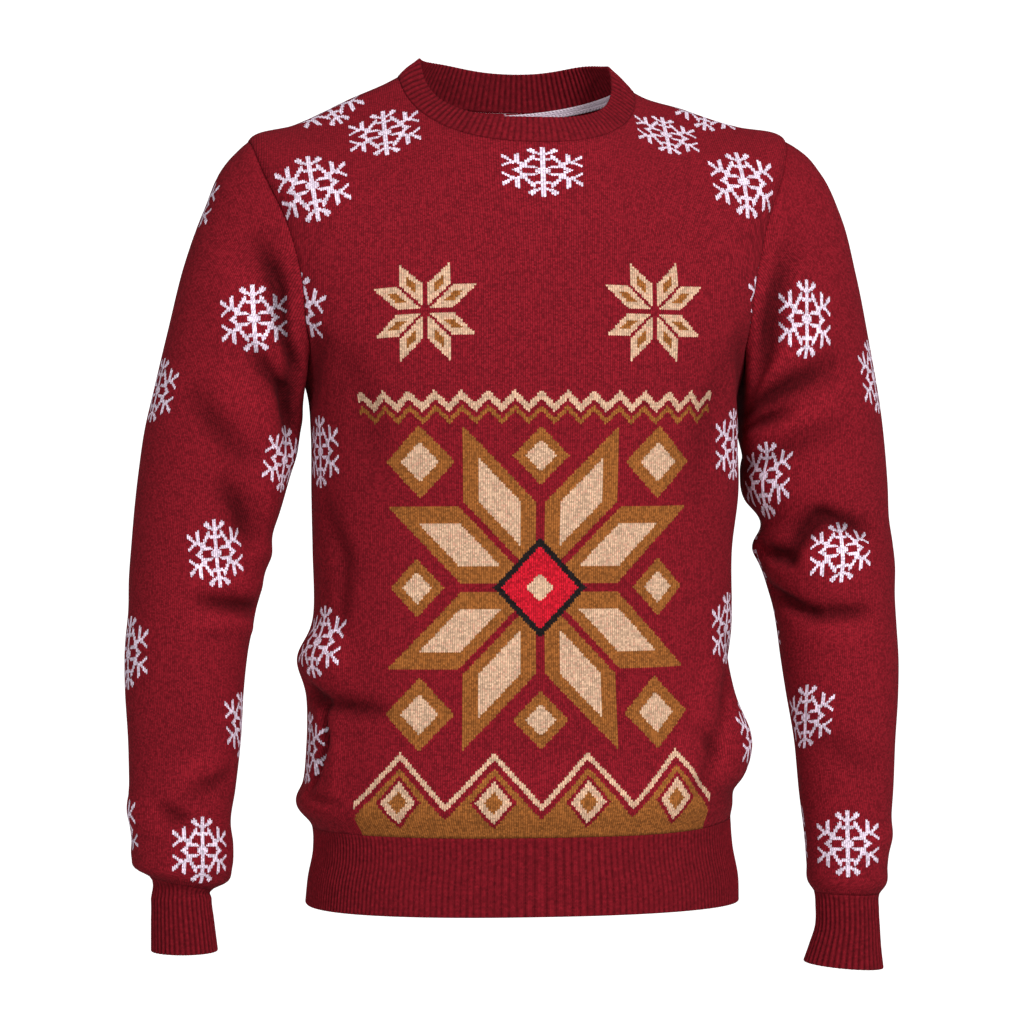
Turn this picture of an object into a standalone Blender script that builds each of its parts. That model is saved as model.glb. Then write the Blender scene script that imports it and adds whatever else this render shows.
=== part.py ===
"""Knitted christmas sweater with a crew neck, filled out as worn, with its neck, hem and cuffs open.

Metres, +Z up.  The front faces -Y, and +X is the wearer's left.  The origin is the middle of the
neck opening, at the height of the shoulder seam beside the collar.  Every piece is a closed wall
of cloth: its outer points come from the tables below, and its inner points lie one wall inside.
"""

import bpy
import numpy as np

MM = 0.001

# Cloth
WALL = 2.0 * MM  # knitted jersey of the front, the back and the sleeves
RIB_WALL = 2.0 * MM  # ribbed bands, measured at half the height of a rib
RIB_HEIGHT = 1.2 * MM  # from groove to ridge
SEAM_GAP = 0.33 * MM  # between two pieces that are linked together
MITRE_LIMIT = 1.8  # longest inner corner of a seam, in walls

# Levels, in millimetres, up the body: the height of the side seam as far as the shoulder tip,
# and from there the way along the shoulder seam and up the collar
HEM_EDGE = -696.0
HEM_SEAM = -634.0
UNDERARM = -246.0
SHOULDER_TIP = -55.0
NECK_SEAM = 78.0
COLLAR_EDGE = 102.0

# Armhole: how many degrees round the body its seam cuts in from the side line
ARMHOLE_FRONT = 30.0
ARMHOLE_BACK = 28.0
ARMHOLE_FULLNESS = 0.7  # under 1 rounds the foot of the armhole

# Ribs round each band
HEM_RIBS = 216
COLLAR_RIBS = 116
CUFF_RIBS = 38

# Tape over the back neck seam, inside
TAPE_LEVEL = 74.0
TAPE_TILT = 7.0  # levels that it climbs to the wearer's left, and drops to the right
TAPE_WIDTH = 6.0  # in levels
TAPE_WALL = 1.0 * MM
TAPE_CLEAR = 0.5 * MM  # from the wall that it lies along
TAPE_COLUMNS_SHORT = 2  # columns of the back that it stops short of each shoulder seam

# How finely each wall is divided
FRONT_COLUMNS = 22
BACK_COLUMNS = 18
COLUMN_CROWDING = 0.9  # under 1 draws the columns of a panel towards its sides
SLEEVE_COLUMNS = 24
# Rows of a panel: level at its two side edges, level across its middle.  Rows on the armhole give
# their turn round the armhole instead of a level at the edges.
SIDE_ROWS = (
    (-634, -634), (-622, -622), (-607, -607), (-591, -591), (-577, -577), (-563, -563),
    (-549, -549), (-533, -533), (-516, -516), (-498, -498), (-480, -480), (-460, -461),
    (-434, -436), (-402, -406), (-368, -374), (-334, -344), (-302, -316), (-275, -293),
    (-258, -276),
)  # fmt: skip
ARMHOLE_ROWS = (
    (0, -261), (15, -247), (30, -232), (45, -216), (60, -198), (75, -176), (90, -152),
    (105, -128), (120, -106), (135, -88), (150, -73), (165, -59), (180, -43),
)  # fmt: skip
SHOULDER_ROWS = ((-28, -22), (8, 10), (44, 44), (78, 78))
ROW_BEND = 6.0  # how close to its edges a row turns to its edge level
COLLAR_LEVELS = (78, 86, 94, 102)
HEM_LEVELS = (-696, -658, -634)
BAND_INNER_COLUMNS = 64
CUFF_INNER_COLUMNS = 24

# Body sections, from the hem edge to the collar edge, in millimetres: height of the two side
# lines, of the front and of the back; half width to each side; depth to the front and to the
# back; squareness of the section; how late the section rises from the front to the side
#  level  left_z right_z front_z back_z  left  right front  back  square rise
BODY_SECTIONS = np.array((
    (-696, -696, -696, -696, -696, 185.0, 182.5, 117.0, 108.0, 2.35, 4.0),
    (-676, -676, -676, -676, -676, 184.5, 180.5, 115.5, 106.5, 2.35, 4.0),
    (-652, -648, -651, -652, -650, 179.5, 176.0, 113.0, 104.0, 2.35, 4.0),
    (-634, -625, -632, -633, -630, 178.5, 177.5, 112.0, 103.0, 2.35, 4.0),
    (-619, -611, -617, -617, -615, 182.0, 187.5, 117.5, 107.0, 2.35, 4.0),
    (-595, -593, -595, -595, -594, 186.0, 184.5, 118.0, 108.0, 2.35, 4.0),
    (-560, -560, -560, -560, -560, 185.0, 182.0, 115.5, 106.0, 2.35, 4.0),
    (-500, -500, -500, -500, -500, 179.5, 181.0, 112.0, 103.0, 2.35, 4.0),
    (-450, -450, -450, -450, -450, 180.0, 176.0, 109.5, 101.0, 2.35, 4.0),
    (-400, -400, -400, -400, -400, 180.0, 177.0, 109.5, 101.0, 2.35, 4.0),
    (-350, -350, -350, -350, -350, 185.5, 178.0, 113.0, 103.0, 2.38, 4.0),
    (-300, -300, -300, -301, -301, 184.5, 178.5, 116.5, 105.0, 2.42, 4.0),
    (-270, -270, -270, -275, -274, 185.0, 181.0, 118.3, 106.3, 2.46, 4.0),
    (-246, -246, -247, -255, -253, 190.0, 188.0, 119.2, 107.2, 2.50, 4.1),
    (-200, -200, -201, -222, -214, 203.0, 206.0, 119.6, 108.0, 2.55, 4.5),
    (-150, -150, -151, -188, -174, 213.0, 216.0, 117.8, 106.5, 2.55, 4.8),
    (-100, -96, -100, -157, -137, 221.0, 225.0, 113.5, 102.0, 2.48, 4.9),
    (-55, -47, -55, -131, -104, 227.5, 232.0, 107.8, 95.5, 2.35, 4.7),
    (-10, -31, -36, -108, -74, 187.0, 192.0, 102.0, 87.5, 2.22, 4.0),
    (35, -16, -12, -86, -49, 143.0, 148.0, 96.8, 79.0, 2.10, 3.0),
    (78, -4, 6, -63, -20, 97.0, 105.0, 92.0, 70.0, 2.00, 2.3),
    (90, 6, 14, -52, -5, 87.0, 96.0, 89.0, 67.0, 2.00, 2.6),
    (102, 13, 19, -42, 12, 77.5, 87.0, 84.0, 63.0, 2.00, 2.9),
))  # fmt: skip

SIDE_ROUNDING = 14.0  # degrees to either side over which the neck line turns at a shoulder
ROUNDING_SAMPLES = 15

# The collar's edge is lifted where it turns from a side into the back: turn, half width of the
# lift in degrees, height in millimetres
COLLAR_LIFTS = ((130, 26, 5.0), (226, 26, 4.0))

# Sleeve sections, from the armhole to the cuff edge, in millimetres: mean height; the outer and
# the inner point in front view, x from the middle of the body; middle and half depth, front to back
#  level  out_x  out_z  in_x   in_z  mid_y  deep
RIGHT_SLEEVE = np.array((
    (-729.0, 313.0, -729, 259.0, -729, -34.0, 28.0),
    (-705.0, 313.0, -705, 262.0, -705, -33.0, 26.0),
    (-688.0, 313.0, -688, 264.0, -688, -32.0, 25.0),
    (-672.0, 315.0, -668, 261.5, -679, -30.0, 27.5),
    (-666.0, 326.0, -662, 250.5, -674, -29.0, 36.5),
    (-656.0, 329.5, -653, 246.0, -662, -28.0, 39.5),
    (-642.0, 329.5, -640, 245.0, -644, -26.0, 40.0),
    (-625.0, 330.0, -624, 247.0, -626, -23.0, 40.5),
    (-598.0, 331.0, -598, 243.0, -598, -19.0, 42.5),
    (-557.0, 332.0, -557, 238.0, -557, -12.0, 45.5),
    (-513.0, 334.5, -513, 235.0, -513, -5.0, 48.5),
    (-481.0, 334.5, -481, 231.0, -481, 0.0, 50.5),
    (-449.0, 331.5, -449, 224.0, -449, 4.0, 52.5),
    (-424.0, 331.0, -424, 218.5, -424, 6.0, 54.5),
    (-391.0, 328.5, -390, 212.5, -392, 7.0, 56.5),
    (-367.0, 326.5, -366, 204.5, -368, 7.0, 58.5),
    (-336.0, 323.0, -334, 196.0, -338, 6.0, 59.5),
    (-308.0, 318.0, -299, 189.5, -317, 5.0, 60.5),
    (-281.0, 310.5, -266, 186.0, -296, 4.0, 61.5),
    (-247.0, 298.5, -215, 186.0, -279, 2.0, 62.0),
    (-212.0, 284.0, -157, 186.5, -267, 0.0, 62.5),
    (-186.0, 268.5, -114, 187.0, -258, -2.0, 62.5),
    (-160.0, 247.0, -71, 188.0, -249, -3.0, 61.5),
    (-151.5, 232.0, -56, 188.0, -247, -4.0, 61.0),
))  # fmt: skip
LEFT_SLEEVE = np.array((
    (-751.0, 305.5, -754, 238.5, -748, -36.0, 31.0),
    (-737.0, 304.0, -739, 243.5, -735, -35.0, 28.5),
    (-719.0, 303.0, -720, 249.0, -718, -34.0, 26.0),
    (-705.0, 302.5, -706, 249.5, -704, -33.0, 26.0),
    (-691.0, 304.0, -692, 248.0, -690, -31.0, 27.5),
    (-684.0, 309.5, -685, 243.5, -683, -30.0, 33.0),
    (-668.0, 311.5, -669, 242.5, -667, -28.0, 35.0),
    (-646.0, 313.5, -647, 241.5, -645, -25.0, 37.0),
    (-607.0, 318.5, -608, 238.0, -606, -19.0, 40.5),
    (-562.0, 322.5, -563, 235.5, -561, -11.0, 44.0),
    (-523.0, 326.5, -524, 230.0, -522, -5.0, 47.5),
    (-490.0, 328.0, -491, 226.0, -489, 0.0, 50.5),
    (-465.0, 327.0, -465, 223.5, -465, 3.0, 52.5),
    (-440.0, 326.0, -440, 219.5, -440, 5.0, 54.0),
    (-410.0, 326.5, -410, 210.0, -410, 7.0, 56.0),
    (-393.0, 324.5, -392, 208.5, -394, 8.0, 57.0),
    (-375.0, 321.5, -373, 209.0, -377, 8.0, 58.0),
    (-350.0, 320.0, -343, 196.5, -357, 7.0, 59.5),
    (-308.0, 314.0, -283, 192.0, -333, 6.0, 61.0),
    (-266.0, 303.0, -222, 191.0, -310, 4.0, 62.0),
    (-225.0, 290.5, -161, 190.5, -289, 2.0, 62.5),
    (-190.0, 276.0, -109, 190.5, -271, 0.0, 62.5),
    (-166.0, 258.0, -74, 190.0, -258, -2.0, 61.5),
    (-153.0, 242.0, -57, 190.0, -249, -3.0, 61.0),
    (-147.0, 227.5, -48, 190.0, -246, -4.0, 61.0),
))  # fmt: skip
RIGHT_CUFF_SEAM = -672.0
LEFT_CUFF_SEAM = -691.0
RIGHT_SLEEVE_LEVELS = (
    -151.5, -158, -171, -190, -211, -235, -261, -286, -310, -338, -366, -390,
    -405, -424, -447, -474, -506, -545, -588, -622, -646, -664, -672,
)  # fmt: skip
LEFT_SLEEVE_LEVELS = (
    -147, -153, -165, -184, -206, -231, -258, -284, -310, -338, -364, -386,
    -402, -424, -446, -474, -508, -548, -592, -634, -666, -683, -691,
)  # fmt: skip
RIGHT_CUFF_LEVELS = (-672, -688, -708, -729)
LEFT_CUFF_LEVELS = (-691, -706, -722, -737, -751)
ARMHOLE_BLEND = 150.0  # levels over which a sleeve leaves the shape of its armhole

# Folds: where each starts and ends, in degrees round the piece and levels, then its half width
# and its height, both in millimetres.  A height under zero is a trough.
#  turn  level  turn  level width height
BODY_FOLDS = (
    (62, -565, 116, -559, 30, 12.5),
    (56, -606, 104, -612, 13, -4.0),
    (68, -508, 46, -590, 12, -5.0),
    (55, -500, 34, -600, 17, 3.0),
    (66, -470, 100, -520, 15, -3.0),
    (-116, -494, -64, -488, 20, 10.0),
    (-80, -529, -48, -521, 11, -5.5),
    (-112, -612, -60, -606, 13, 3.0),
    (-76, -556, -70, -604, 11, -5.5),
    (-64, -400, -60, -468, 13, -3.0),
    (-82, -268, -58, -216, 12, -4.5),
    (80, -268, 56, -214, 12, -4.0),
    (-50, -245, -44, -330, 20, -3.0),
    (52, -250, 44, -345, 20, -3.0),
    (-20, -590, 22, -596, 18, 2.0),
    (112, -300, 146, -410, 22, -5.0),
    (-112, -300, -148, -420, 22, -5.0),
    (150, -480, 215, -500, 20, -4.5),
    (145, -530, 212, -545, 22, 5.0),
    (128, -590, 170, -604, 15, -4.0),
    (232, -580, 190, -600, 15, 4.0),
    (150, -200, 178, -240, 20, -3.0),
    (208, -190, 184, -236, 20, -3.0),
)
#  0 degrees is the side next to the body, 90 the front, 180 the outside, 270 the back
RIGHT_SLEEVE_FOLDS = (
    (50, -178, 34, -300, 12, -6.0),
    (76, -190, 66, -290, 15, 3.0),
    (128, -284, 74, -326, 12, -3.5),
    (50, -398, -24, -404, 12, 4.0),
    (92, -428, 8, -448, 9, -5.5),
    (70, -466, 10, -478, 13, 3.5),
    (100, -600, 24, -588, 10, -4.0),
    (300, -240, 350, -290, 14, -5.0),
    (230, -330, 300, -300, 16, -4.0),
    (344, -380, 250, -420, 14, -5.0),
    (330, -440, 240, -400, 15, 4.0),
    (250, -560, 320, -590, 14, -4.0),
    (215, -612, 130, -618, 13, 3.0),
)
LEFT_SLEEVE_FOLDS = (
    (18, -226, 74, -186, 11, -4.5),
    (14, -262, 98, -218, 12, -5.5),
    (10, -302, 100, -268, 12, -5.0),
    (30, -284, 110, -244, 13, 3.0),
    (-24, -396, 44, -400, 12, 5.5),
    (34, -386, 112, -406, 10, -4.5),
    (22, -430, 118, -458, 11, -5.0),
    (40, -412, 120, -430, 12, 3.5),
    (40, -560, 110, -580, 13, -3.0),
    (300, -240, 350, -286, 14, -5.0),
    (225, -330, 300, -290, 16, -4.0),
    (344, -372, 250, -416, 14, -5.0),
    (330, -436, 240, -392, 15, 4.0),
    (250, -570, 320, -604, 14, -4.0),
    (200, -640, 110, -646, 12, 3.0),
)
BODY_DEGREE = 2.7  # millimetres of cloth to a degree round the body
SLEEVE_DEGREE = 0.95
FOLD_FADE = 14.0  # levels over which the folds die out next to a band

# Step that a surface is compared over to find the way it faces
TURN_STEP = 0.5
LEVEL_STEP = 0.5

SHARP_ANGLE = 0.6  # radians: a sharper edge than this stays sharp when a piece is shaded

CLOTH_RED = (0.205, 0.010, 0.019, 1.0)
RIB_RED = (0.165, 0.009, 0.015, 1.0)
TAPE_WHITE = (0.80, 0.78, 0.82, 1.0)


def through(table, level):
    """Every later column of a table at the levels asked for, on smooth curves through its rows."""
    at = table[:, 0]
    values = table[:, 1:]
    step = np.diff(at)[:, None]
    rate = np.diff(values, axis=0) / step
    slope = np.empty_like(values)
    slope[0] = rate[0]
    slope[-1] = rate[-1]
    slope[1:-1] = (rate[1:] * step[:-1] + rate[:-1] * step[1:]) / (step[:-1] + step[1:])
    level = np.clip(level, at[0], at[-1])
    row = np.clip(np.searchsorted(at, level, side="right") - 1, 0, len(at) - 2)
    width = step[row]
    t = ((level - at[row]) / width[:, 0])[:, None]
    start = values[row] * (1 + 2 * t) * (1 - t) ** 2 + width * slope[row] * t * (1 - t) ** 2
    end = values[row + 1] * t**2 * (3 - 2 * t) - width * slope[row + 1] * t**2 * (1 - t)
    return (start + end).T


def ease(t):
    """From 0 to 1 with a level start and end."""
    t = np.clip(t, 0.0, 1.0)
    return t * t * (3 - 2 * t)


def unit(vectors):
    return vectors / np.linalg.norm(vectors, axis=-1, keepdims=True)


def fold_height(folds, turn, level, degree):
    """Sum of the folds, in millimetres: each is a soft trough or ridge along its own line."""
    total = np.zeros_like(level)
    for turn_a, level_a, turn_b, level_b, half_width, height in folds:
        middle = 0.5 * (turn_a + turn_b)
        across = ((turn - middle + 180.0) % 360.0 - 180.0) * degree
        run = (turn_b - turn_a) * degree
        climb = level_b - level_a
        u = across + 0.5 * run
        v = level - level_a
        along = (u * run + v * climb) / (run * run + climb * climb)
        nearest = np.clip(along, 0.0, 1.0)
        away = (u - nearest * run) ** 2 + (v - nearest * climb) ** 2
        swell = 1.0 - 0.45 * (2 * nearest - 1) ** 2
        total += height * swell * np.exp(-away / half_width**2)
    return total


def facing(form, turn, level, low, high):
    """Outward unit normals of a form that is given by turns and levels."""
    round_it = form(turn + TURN_STEP, level) - form(turn - TURN_STEP, level)
    above = form(turn, np.minimum(level + LEVEL_STEP, high))
    below = form(turn, np.maximum(level - LEVEL_STEP, low))
    return unit(np.cross(round_it, above - below))


def section_height(turn, columns, neckward):
    """Height of a section, in millimetres: it rises from the front and the back to its sides."""
    left_z, right_z, front_z, back_z, _, _, _, _, _, rise = columns
    across = np.sin(np.radians(turn))
    side_z = 0.5 * (left_z + right_z) + 0.5 * (left_z - right_z) * across
    middle_z = np.where(np.cos(np.radians(turn)) > 0, front_z, back_z)
    late = np.abs(across) ** rise
    dip = 1 - (1 - np.abs(across) ** rise) ** (1 / rise)
    return middle_z + (side_z - middle_z) * (late + (dip - late) * neckward)


def body_form(turn, level):
    """Plain body: 0 degrees is the front, 90 the left side, 180 the back."""
    columns = through(BODY_SECTIONS, level)
    _, _, _, _, left, right, front, back, square, _ = columns
    across = np.sin(np.radians(turn))
    ahead = np.cos(np.radians(turn))
    half = 0.5 * (left + right) + 0.5 * (left - right) * across
    depth = np.where(ahead > 0, front, back)
    x = half * np.sign(across) * np.abs(across) ** (2 / square)
    y = -depth * np.sign(ahead) * np.abs(ahead) ** (2 / square)
    neckward = ease((level - SHOULDER_TIP) / (NECK_SEAM - SHOULDER_TIP))
    offsets = np.linspace(-SIDE_ROUNDING, SIDE_ROUNDING, ROUNDING_SAMPLES)
    shares = 1 + np.cos(np.pi * offsets / SIDE_ROUNDING)
    shares /= shares.sum()
    z = sum(s * section_height(turn + o, columns, neckward) for o, s in zip(offsets, shares))
    upward = ease((level - NECK_SEAM) / (COLLAR_EDGE - NECK_SEAM))
    for lift_turn, half_width, height in COLLAR_LIFTS:
        off = ((turn - lift_turn + 180.0) % 360.0 - 180.0) / half_width
        z = z + height * upward * np.exp(-off * off)
    return np.stack((x, y, z), axis=-1) * MM


def body(turn, level):
    """Body with its folds, which die out before the two bands."""
    fade = ease((level - HEM_SEAM) / FOLD_FADE) * ease((NECK_SEAM - level) / FOLD_FADE)
    height = fold_height(BODY_FOLDS, turn, level, BODY_DEGREE) * fade * MM
    plain = body_form(turn, level)
    return plain + height[:, None] * facing(body_form, turn, level, HEM_EDGE, COLLAR_EDGE)


def body_facing(turn, level):
    return facing(body, turn, level, HEM_EDGE, COLLAR_EDGE)


def armhole_line(side, turn):
    """Turn and level on the body for a turn round an armhole, which starts at the underarm."""
    at_front = turn <= 180.0
    climb = np.where(at_front, turn, 360.0 - turn)
    middle = 0.5 * (UNDERARM + SHOULDER_TIP)
    reach = 0.5 * (SHOULDER_TIP - UNDERARM)
    level = middle - reach * np.cos(np.radians(climb))
    cut = np.maximum(np.sin(np.radians(climb)), 0.0) ** ARMHOLE_FULLNESS
    from_side = np.where(at_front, -ARMHOLE_FRONT * cut, ARMHOLE_BACK * cut)
    return side * (90.0 + from_side), level


def armhole(side, turn):
    return body(*armhole_line(side, turn))


def sleeve_form(side, turn, level):
    """Plain sleeve: sections that lean less and less, starting as the armhole's own line."""
    table = LEFT_SLEEVE if side > 0 else RIGHT_SLEEVE
    top = table[-1, 0]

    def section(at):
        out_x, out_z, in_x, in_z, mid_y, deep = through(table, at)
        inward = np.cos(np.radians(turn))
        ahead = np.sin(np.radians(turn))
        x = 0.5 * (out_x + in_x) - 0.5 * (out_x - in_x) * inward
        z = 0.5 * (out_z + in_z) - 0.5 * (out_z - in_z) * inward
        y = mid_y - deep * ahead
        return np.stack((side * x, y, z), axis=-1) * MM

    wrapped = turn % 360.0
    keep = 1.0 - ease((top - level) / ARMHOLE_BLEND)
    change = armhole(side, wrapped) - section(np.full_like(level, top))
    return section(level) + keep[:, None] * change


def sleeve_limits(side):
    table = LEFT_SLEEVE if side > 0 else RIGHT_SLEEVE
    return table[0, 0], table[-1, 0]


def sleeve(side, turn, level):
    """Sleeve with its folds, which die out at the armhole and at the cuff."""
    low, top = sleeve_limits(side)
    folds = LEFT_SLEEVE_FOLDS if side > 0 else RIGHT_SLEEVE_FOLDS
    cuff_seam = LEFT_CUFF_SEAM if side > 0 else RIGHT_CUFF_SEAM

    def form(a, b):
        return sleeve_form(side, a, b)

    fade = ease((top - level) / FOLD_FADE) * ease((level - cuff_seam) / FOLD_FADE)
    height = fold_height(folds, turn, level, SLEEVE_DEGREE) * fade * MM
    return form(turn, level) + (side * height)[:, None] * facing(form, turn, level, low, top)


def sleeve_facing(side, turn, level):
    low, top = sleeve_limits(side)

    def form(a, b):
        return sleeve(side, a, b)

    return side * facing(form, turn, level, low, top)


def armhole_mitre(side, turn):
    """Inward corner of the armhole seam, and the way across the seam towards the sleeve."""
    body_turn, level = armhole_line(side, turn)
    top = np.full_like(level, sleeve_limits(side)[1])
    corner = body_facing(body_turn, level) + sleeve_facing(side, turn, top)
    length = np.linalg.norm(corner, axis=-1, keepdims=True)
    corner = corner / length
    inward = -corner * np.minimum(2.0 / length, MITRE_LIMIT)
    run = armhole(side, (turn + 1.0) % 360.0) - armhole(side, (turn - 1.0) % 360.0)
    across = unit(np.cross(run, corner))
    return inward, across * (side * np.sign(across[:, :1]))


def grid(function, turns, levels):
    """Evaluate a function of turn and level over rows of points."""
    flat = function(turns.ravel(), levels.ravel())
    return flat.reshape(*turns.shape, 3)


def quads(rows, columns, offset, closed):
    """Faces of a grid as triangles, and the next free index."""
    faces = []
    for row in range(rows - 1):
        for column in range(columns if closed else columns - 1):
            following = (column + 1) % columns
            a = offset + row * columns + column
            b = offset + row * columns + following
            c = offset + (row + 1) * columns + following
            d = offset + (row + 1) * columns + column
            faces += [(a, b, c), (a, c, d)]
    return faces


def zip_edges(first, second):
    """Triangles between two edges that run the same way with unlike numbers of points."""
    faces = []
    i = 0
    j = 0
    while i < len(first) - 1 or j < len(second) - 1:
        next_first = (i + 1) / (len(first) - 1)
        next_second = (j + 1) / (len(second) - 1)
        if next_first <= next_second + 1e-9 and i < len(first) - 1:
            faces.append((first[i], second[j], first[i + 1]))
            i += 1
        else:
            faces.append((first[i], second[j], second[j + 1]))
            j += 1
    return faces


def edge_of(columns, offset, row, closed):
    """Indices along one row of a grid, back to its first point where the grid is closed."""
    indices = [offset + row * columns + column for column in range(columns)]
    if closed:
        indices.append(indices[0])
    return indices


def wall_mesh(outer, inner, closed):
    """Points and faces of a wall between an outer and an inner grid."""
    outer_rows, outer_columns = outer.shape[:2]
    inner_rows, inner_columns = inner.shape[:2]
    offset = outer_rows * outer_columns
    points = np.concatenate((outer.reshape(-1, 3), inner.reshape(-1, 3)))
    faces = quads(outer_rows, outer_columns, 0, closed)
    faces += [face[::-1] for face in quads(inner_rows, inner_columns, offset, closed)]
    outer_low = edge_of(outer_columns, 0, 0, closed)
    inner_low = edge_of(inner_columns, offset, 0, closed)
    outer_high = edge_of(outer_columns, 0, outer_rows - 1, closed)
    inner_high = edge_of(inner_columns, offset, inner_rows - 1, closed)
    faces += zip_edges(outer_low, inner_low)
    faces += [face[::-1] for face in zip_edges(outer_high, inner_high)]
    if not closed:
        for column in (0, outer_columns - 1):
            outer_side = [row * outer_columns + column for row in range(outer_rows)]
            inner_side = [offset + row * inner_columns + column for row in range(inner_rows)]
            side_faces = zip_edges(outer_side, inner_side)
            faces += [face[::-1] for face in side_faces] if column == 0 else side_faces
    return points, faces


def add_piece(collection, name, mesh_data, colour):
    """Add one closed piece of cloth to the scene, with its faces turned outward."""
    points, faces = mesh_data
    corners = points[np.array(faces)]
    volume = np.einsum("ij,ij->i", corners[:, 0], np.cross(corners[:, 1], corners[:, 2])).sum()
    if volume < 0:
        faces = [face[::-1] for face in faces]
    mesh = bpy.data.meshes.new(name)
    mesh.from_pydata(points.tolist(), [], faces)
    mesh.update()
    mesh.shade_smooth()
    mesh.set_sharp_from_angle(angle=SHARP_ANGLE)
    piece = bpy.data.objects.new(name, mesh)
    material = bpy.data.materials.new(name + "_cloth")
    material.use_nodes = True
    shader = material.node_tree.nodes["Principled BSDF"]
    shader.inputs["Base Color"].default_value = colour
    shader.inputs["Roughness"].default_value = 0.9
    mesh.materials.append(material)
    collection.objects.link(piece)
    return piece


def panel_rows():
    """Edge and middle levels of the rows of a panel, and the turn of those on the armhole."""
    climbs = np.array([climb for climb, _ in ARMHOLE_ROWS], dtype=float)
    rows = np.array(SIDE_ROWS + ARMHOLE_ROWS + SHOULDER_ROWS, dtype=float)
    on_armhole = np.full(len(rows), -1.0)
    first = len(SIDE_ROWS)
    on_armhole[first : first + len(climbs)] = climbs
    edges = rows[:, 0].copy()
    edges[first : first + len(climbs)] = armhole_line(1, climbs)[1]
    return edges, rows[:, 1], on_armhole


def column_spread(columns):
    """Places of the columns of a panel, from -1 to 1 across it, closer together at its sides."""
    even = np.linspace(-1.0, 1.0, columns + 1)
    return np.sign(even) * np.abs(even) ** COLUMN_CROWDING


def body_panel(at_front, columns):
    """Wall of the front or the back, from the hem seam to the neck seam."""
    edge_levels, middle_levels, on_armhole = panel_rows()
    spread = column_spread(columns)
    cut = np.zeros(len(edge_levels))
    armhole_rows = on_armhole >= 0
    full_turn = ARMHOLE_FRONT if at_front else ARMHOLE_BACK
    climb_sine = np.maximum(np.sin(np.radians(on_armhole[armhole_rows])), 0.0)
    cut[armhole_rows] = full_turn * climb_sine**ARMHOLE_FULLNESS
    turns = spread[None, :] * (90.0 - cut[:, None])
    if not at_front:
        turns = 180.0 - turns
    bend = np.abs(spread)[None, :] ** ROW_BEND
    row_levels = middle_levels[:, None] + (edge_levels - middle_levels)[:, None] * bend
    outer = grid(body, turns, row_levels)
    inward = -grid(body_facing, turns, row_levels)

    clear = np.zeros_like(outer)
    half_gap = 0.5 * SEAM_GAP
    upward = unit(outer[1:] - outer[:-1])
    clear[0] += half_gap * upward[0]
    clear[-1] -= half_gap * upward[-1]
    away = -half_gap if at_front else half_gap
    side_rows = cut < 1e-6
    for side in (-1, 1):
        column = 0 if side < 0 else columns
        clear[side_rows, column, 1] += away
        climbs = on_armhole[armhole_rows]
        round_armhole = climbs if at_front else (360.0 - climbs) % 360.0
        corner, across = armhole_mitre(side, round_armhole)
        inward[armhole_rows, column] = corner
        clear[armhole_rows, column] -= half_gap * across
    return wall_mesh(outer + clear, outer + clear + inward * WALL, False)


def sleeve_wall(side, levels):
    """Wall of a sleeve, from the armhole seam to the cuff seam."""
    turn = np.linspace(0.0, 360.0, SLEEVE_COLUMNS, endpoint=False)
    rows = np.array(levels[::-1], dtype=float)
    turns = np.repeat(turn[None, :], len(rows), axis=0)
    row_levels = np.repeat(rows[:, None], SLEEVE_COLUMNS, axis=1)
    outer = grid(lambda a, b: sleeve(side, a, b), turns, row_levels)
    inward = -grid(lambda a, b: sleeve_facing(side, a, b), turns, row_levels)
    half_gap = 0.5 * SEAM_GAP
    clear = np.zeros_like(outer)
    clear[0] += half_gap * unit(outer[1] - outer[0])
    inward[-1], across = armhole_mitre(side, turn)
    clear[-1] += half_gap * across
    return wall_mesh(outer + clear, outer + clear + inward * WALL, True)


def panel_turns():
    """Turns of the columns of the front and the back, once round the body."""
    front = 90.0 * column_spread(FRONT_COLUMNS)
    back = 180.0 + 90.0 * column_spread(BACK_COLUMNS)
    return np.concatenate((front, back[1:]))


def between_knots(knots, points, turn):
    """Points on the straight edges between neighbouring knots of a closed line."""
    shifted = (turn - knots[0]) % 360.0 + knots[0]
    return np.stack([np.interp(shifted, knots, axis) for axis in points.T], axis=-1)


def ribbed_band(form, form_facing, ribs, inner_columns, levels, seam_row, knots):
    """Ribbed band: ribs stand in the outer points, and the inside is plain.

    Its seam row lies on the straight edges between the knots, which are the columns of the
    pieces that it is linked to.
    """
    rows = np.array(sorted(levels), dtype=float)
    seam_level = np.full(len(knots), rows[seam_row])
    seam_points = form(knots, seam_level)
    seam_outward = form_facing(knots, seam_level)
    next_row = 1 if seam_row == 0 else -2
    walls = []
    for columns, ribbed in ((2 * ribs, True), (inner_columns, False)):
        turn = np.linspace(0.0, 360.0, columns, endpoint=False)
        turns = np.repeat(turn[None, :], len(rows), axis=0)
        row_levels = np.repeat(rows[:, None], columns, axis=1)
        surface = grid(form, turns, row_levels)
        outward = grid(form_facing, turns, row_levels)
        surface[seam_row] = between_knots(knots, seam_points, turn)
        outward[seam_row] = unit(between_knots(knots, seam_outward, turn))
        away = unit(surface[next_row] - surface[seam_row])
        surface[seam_row] += 0.5 * SEAM_GAP * away
        if ribbed:
            ridge = np.where(np.arange(columns) % 2 == 0, 0.5, -0.5) * RIB_HEIGHT
            walls.append(surface + outward * ridge[None, :, None])
        else:
            walls.append(surface - outward * RIB_WALL)
    return wall_mesh(walls[0], walls[1], True)


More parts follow.
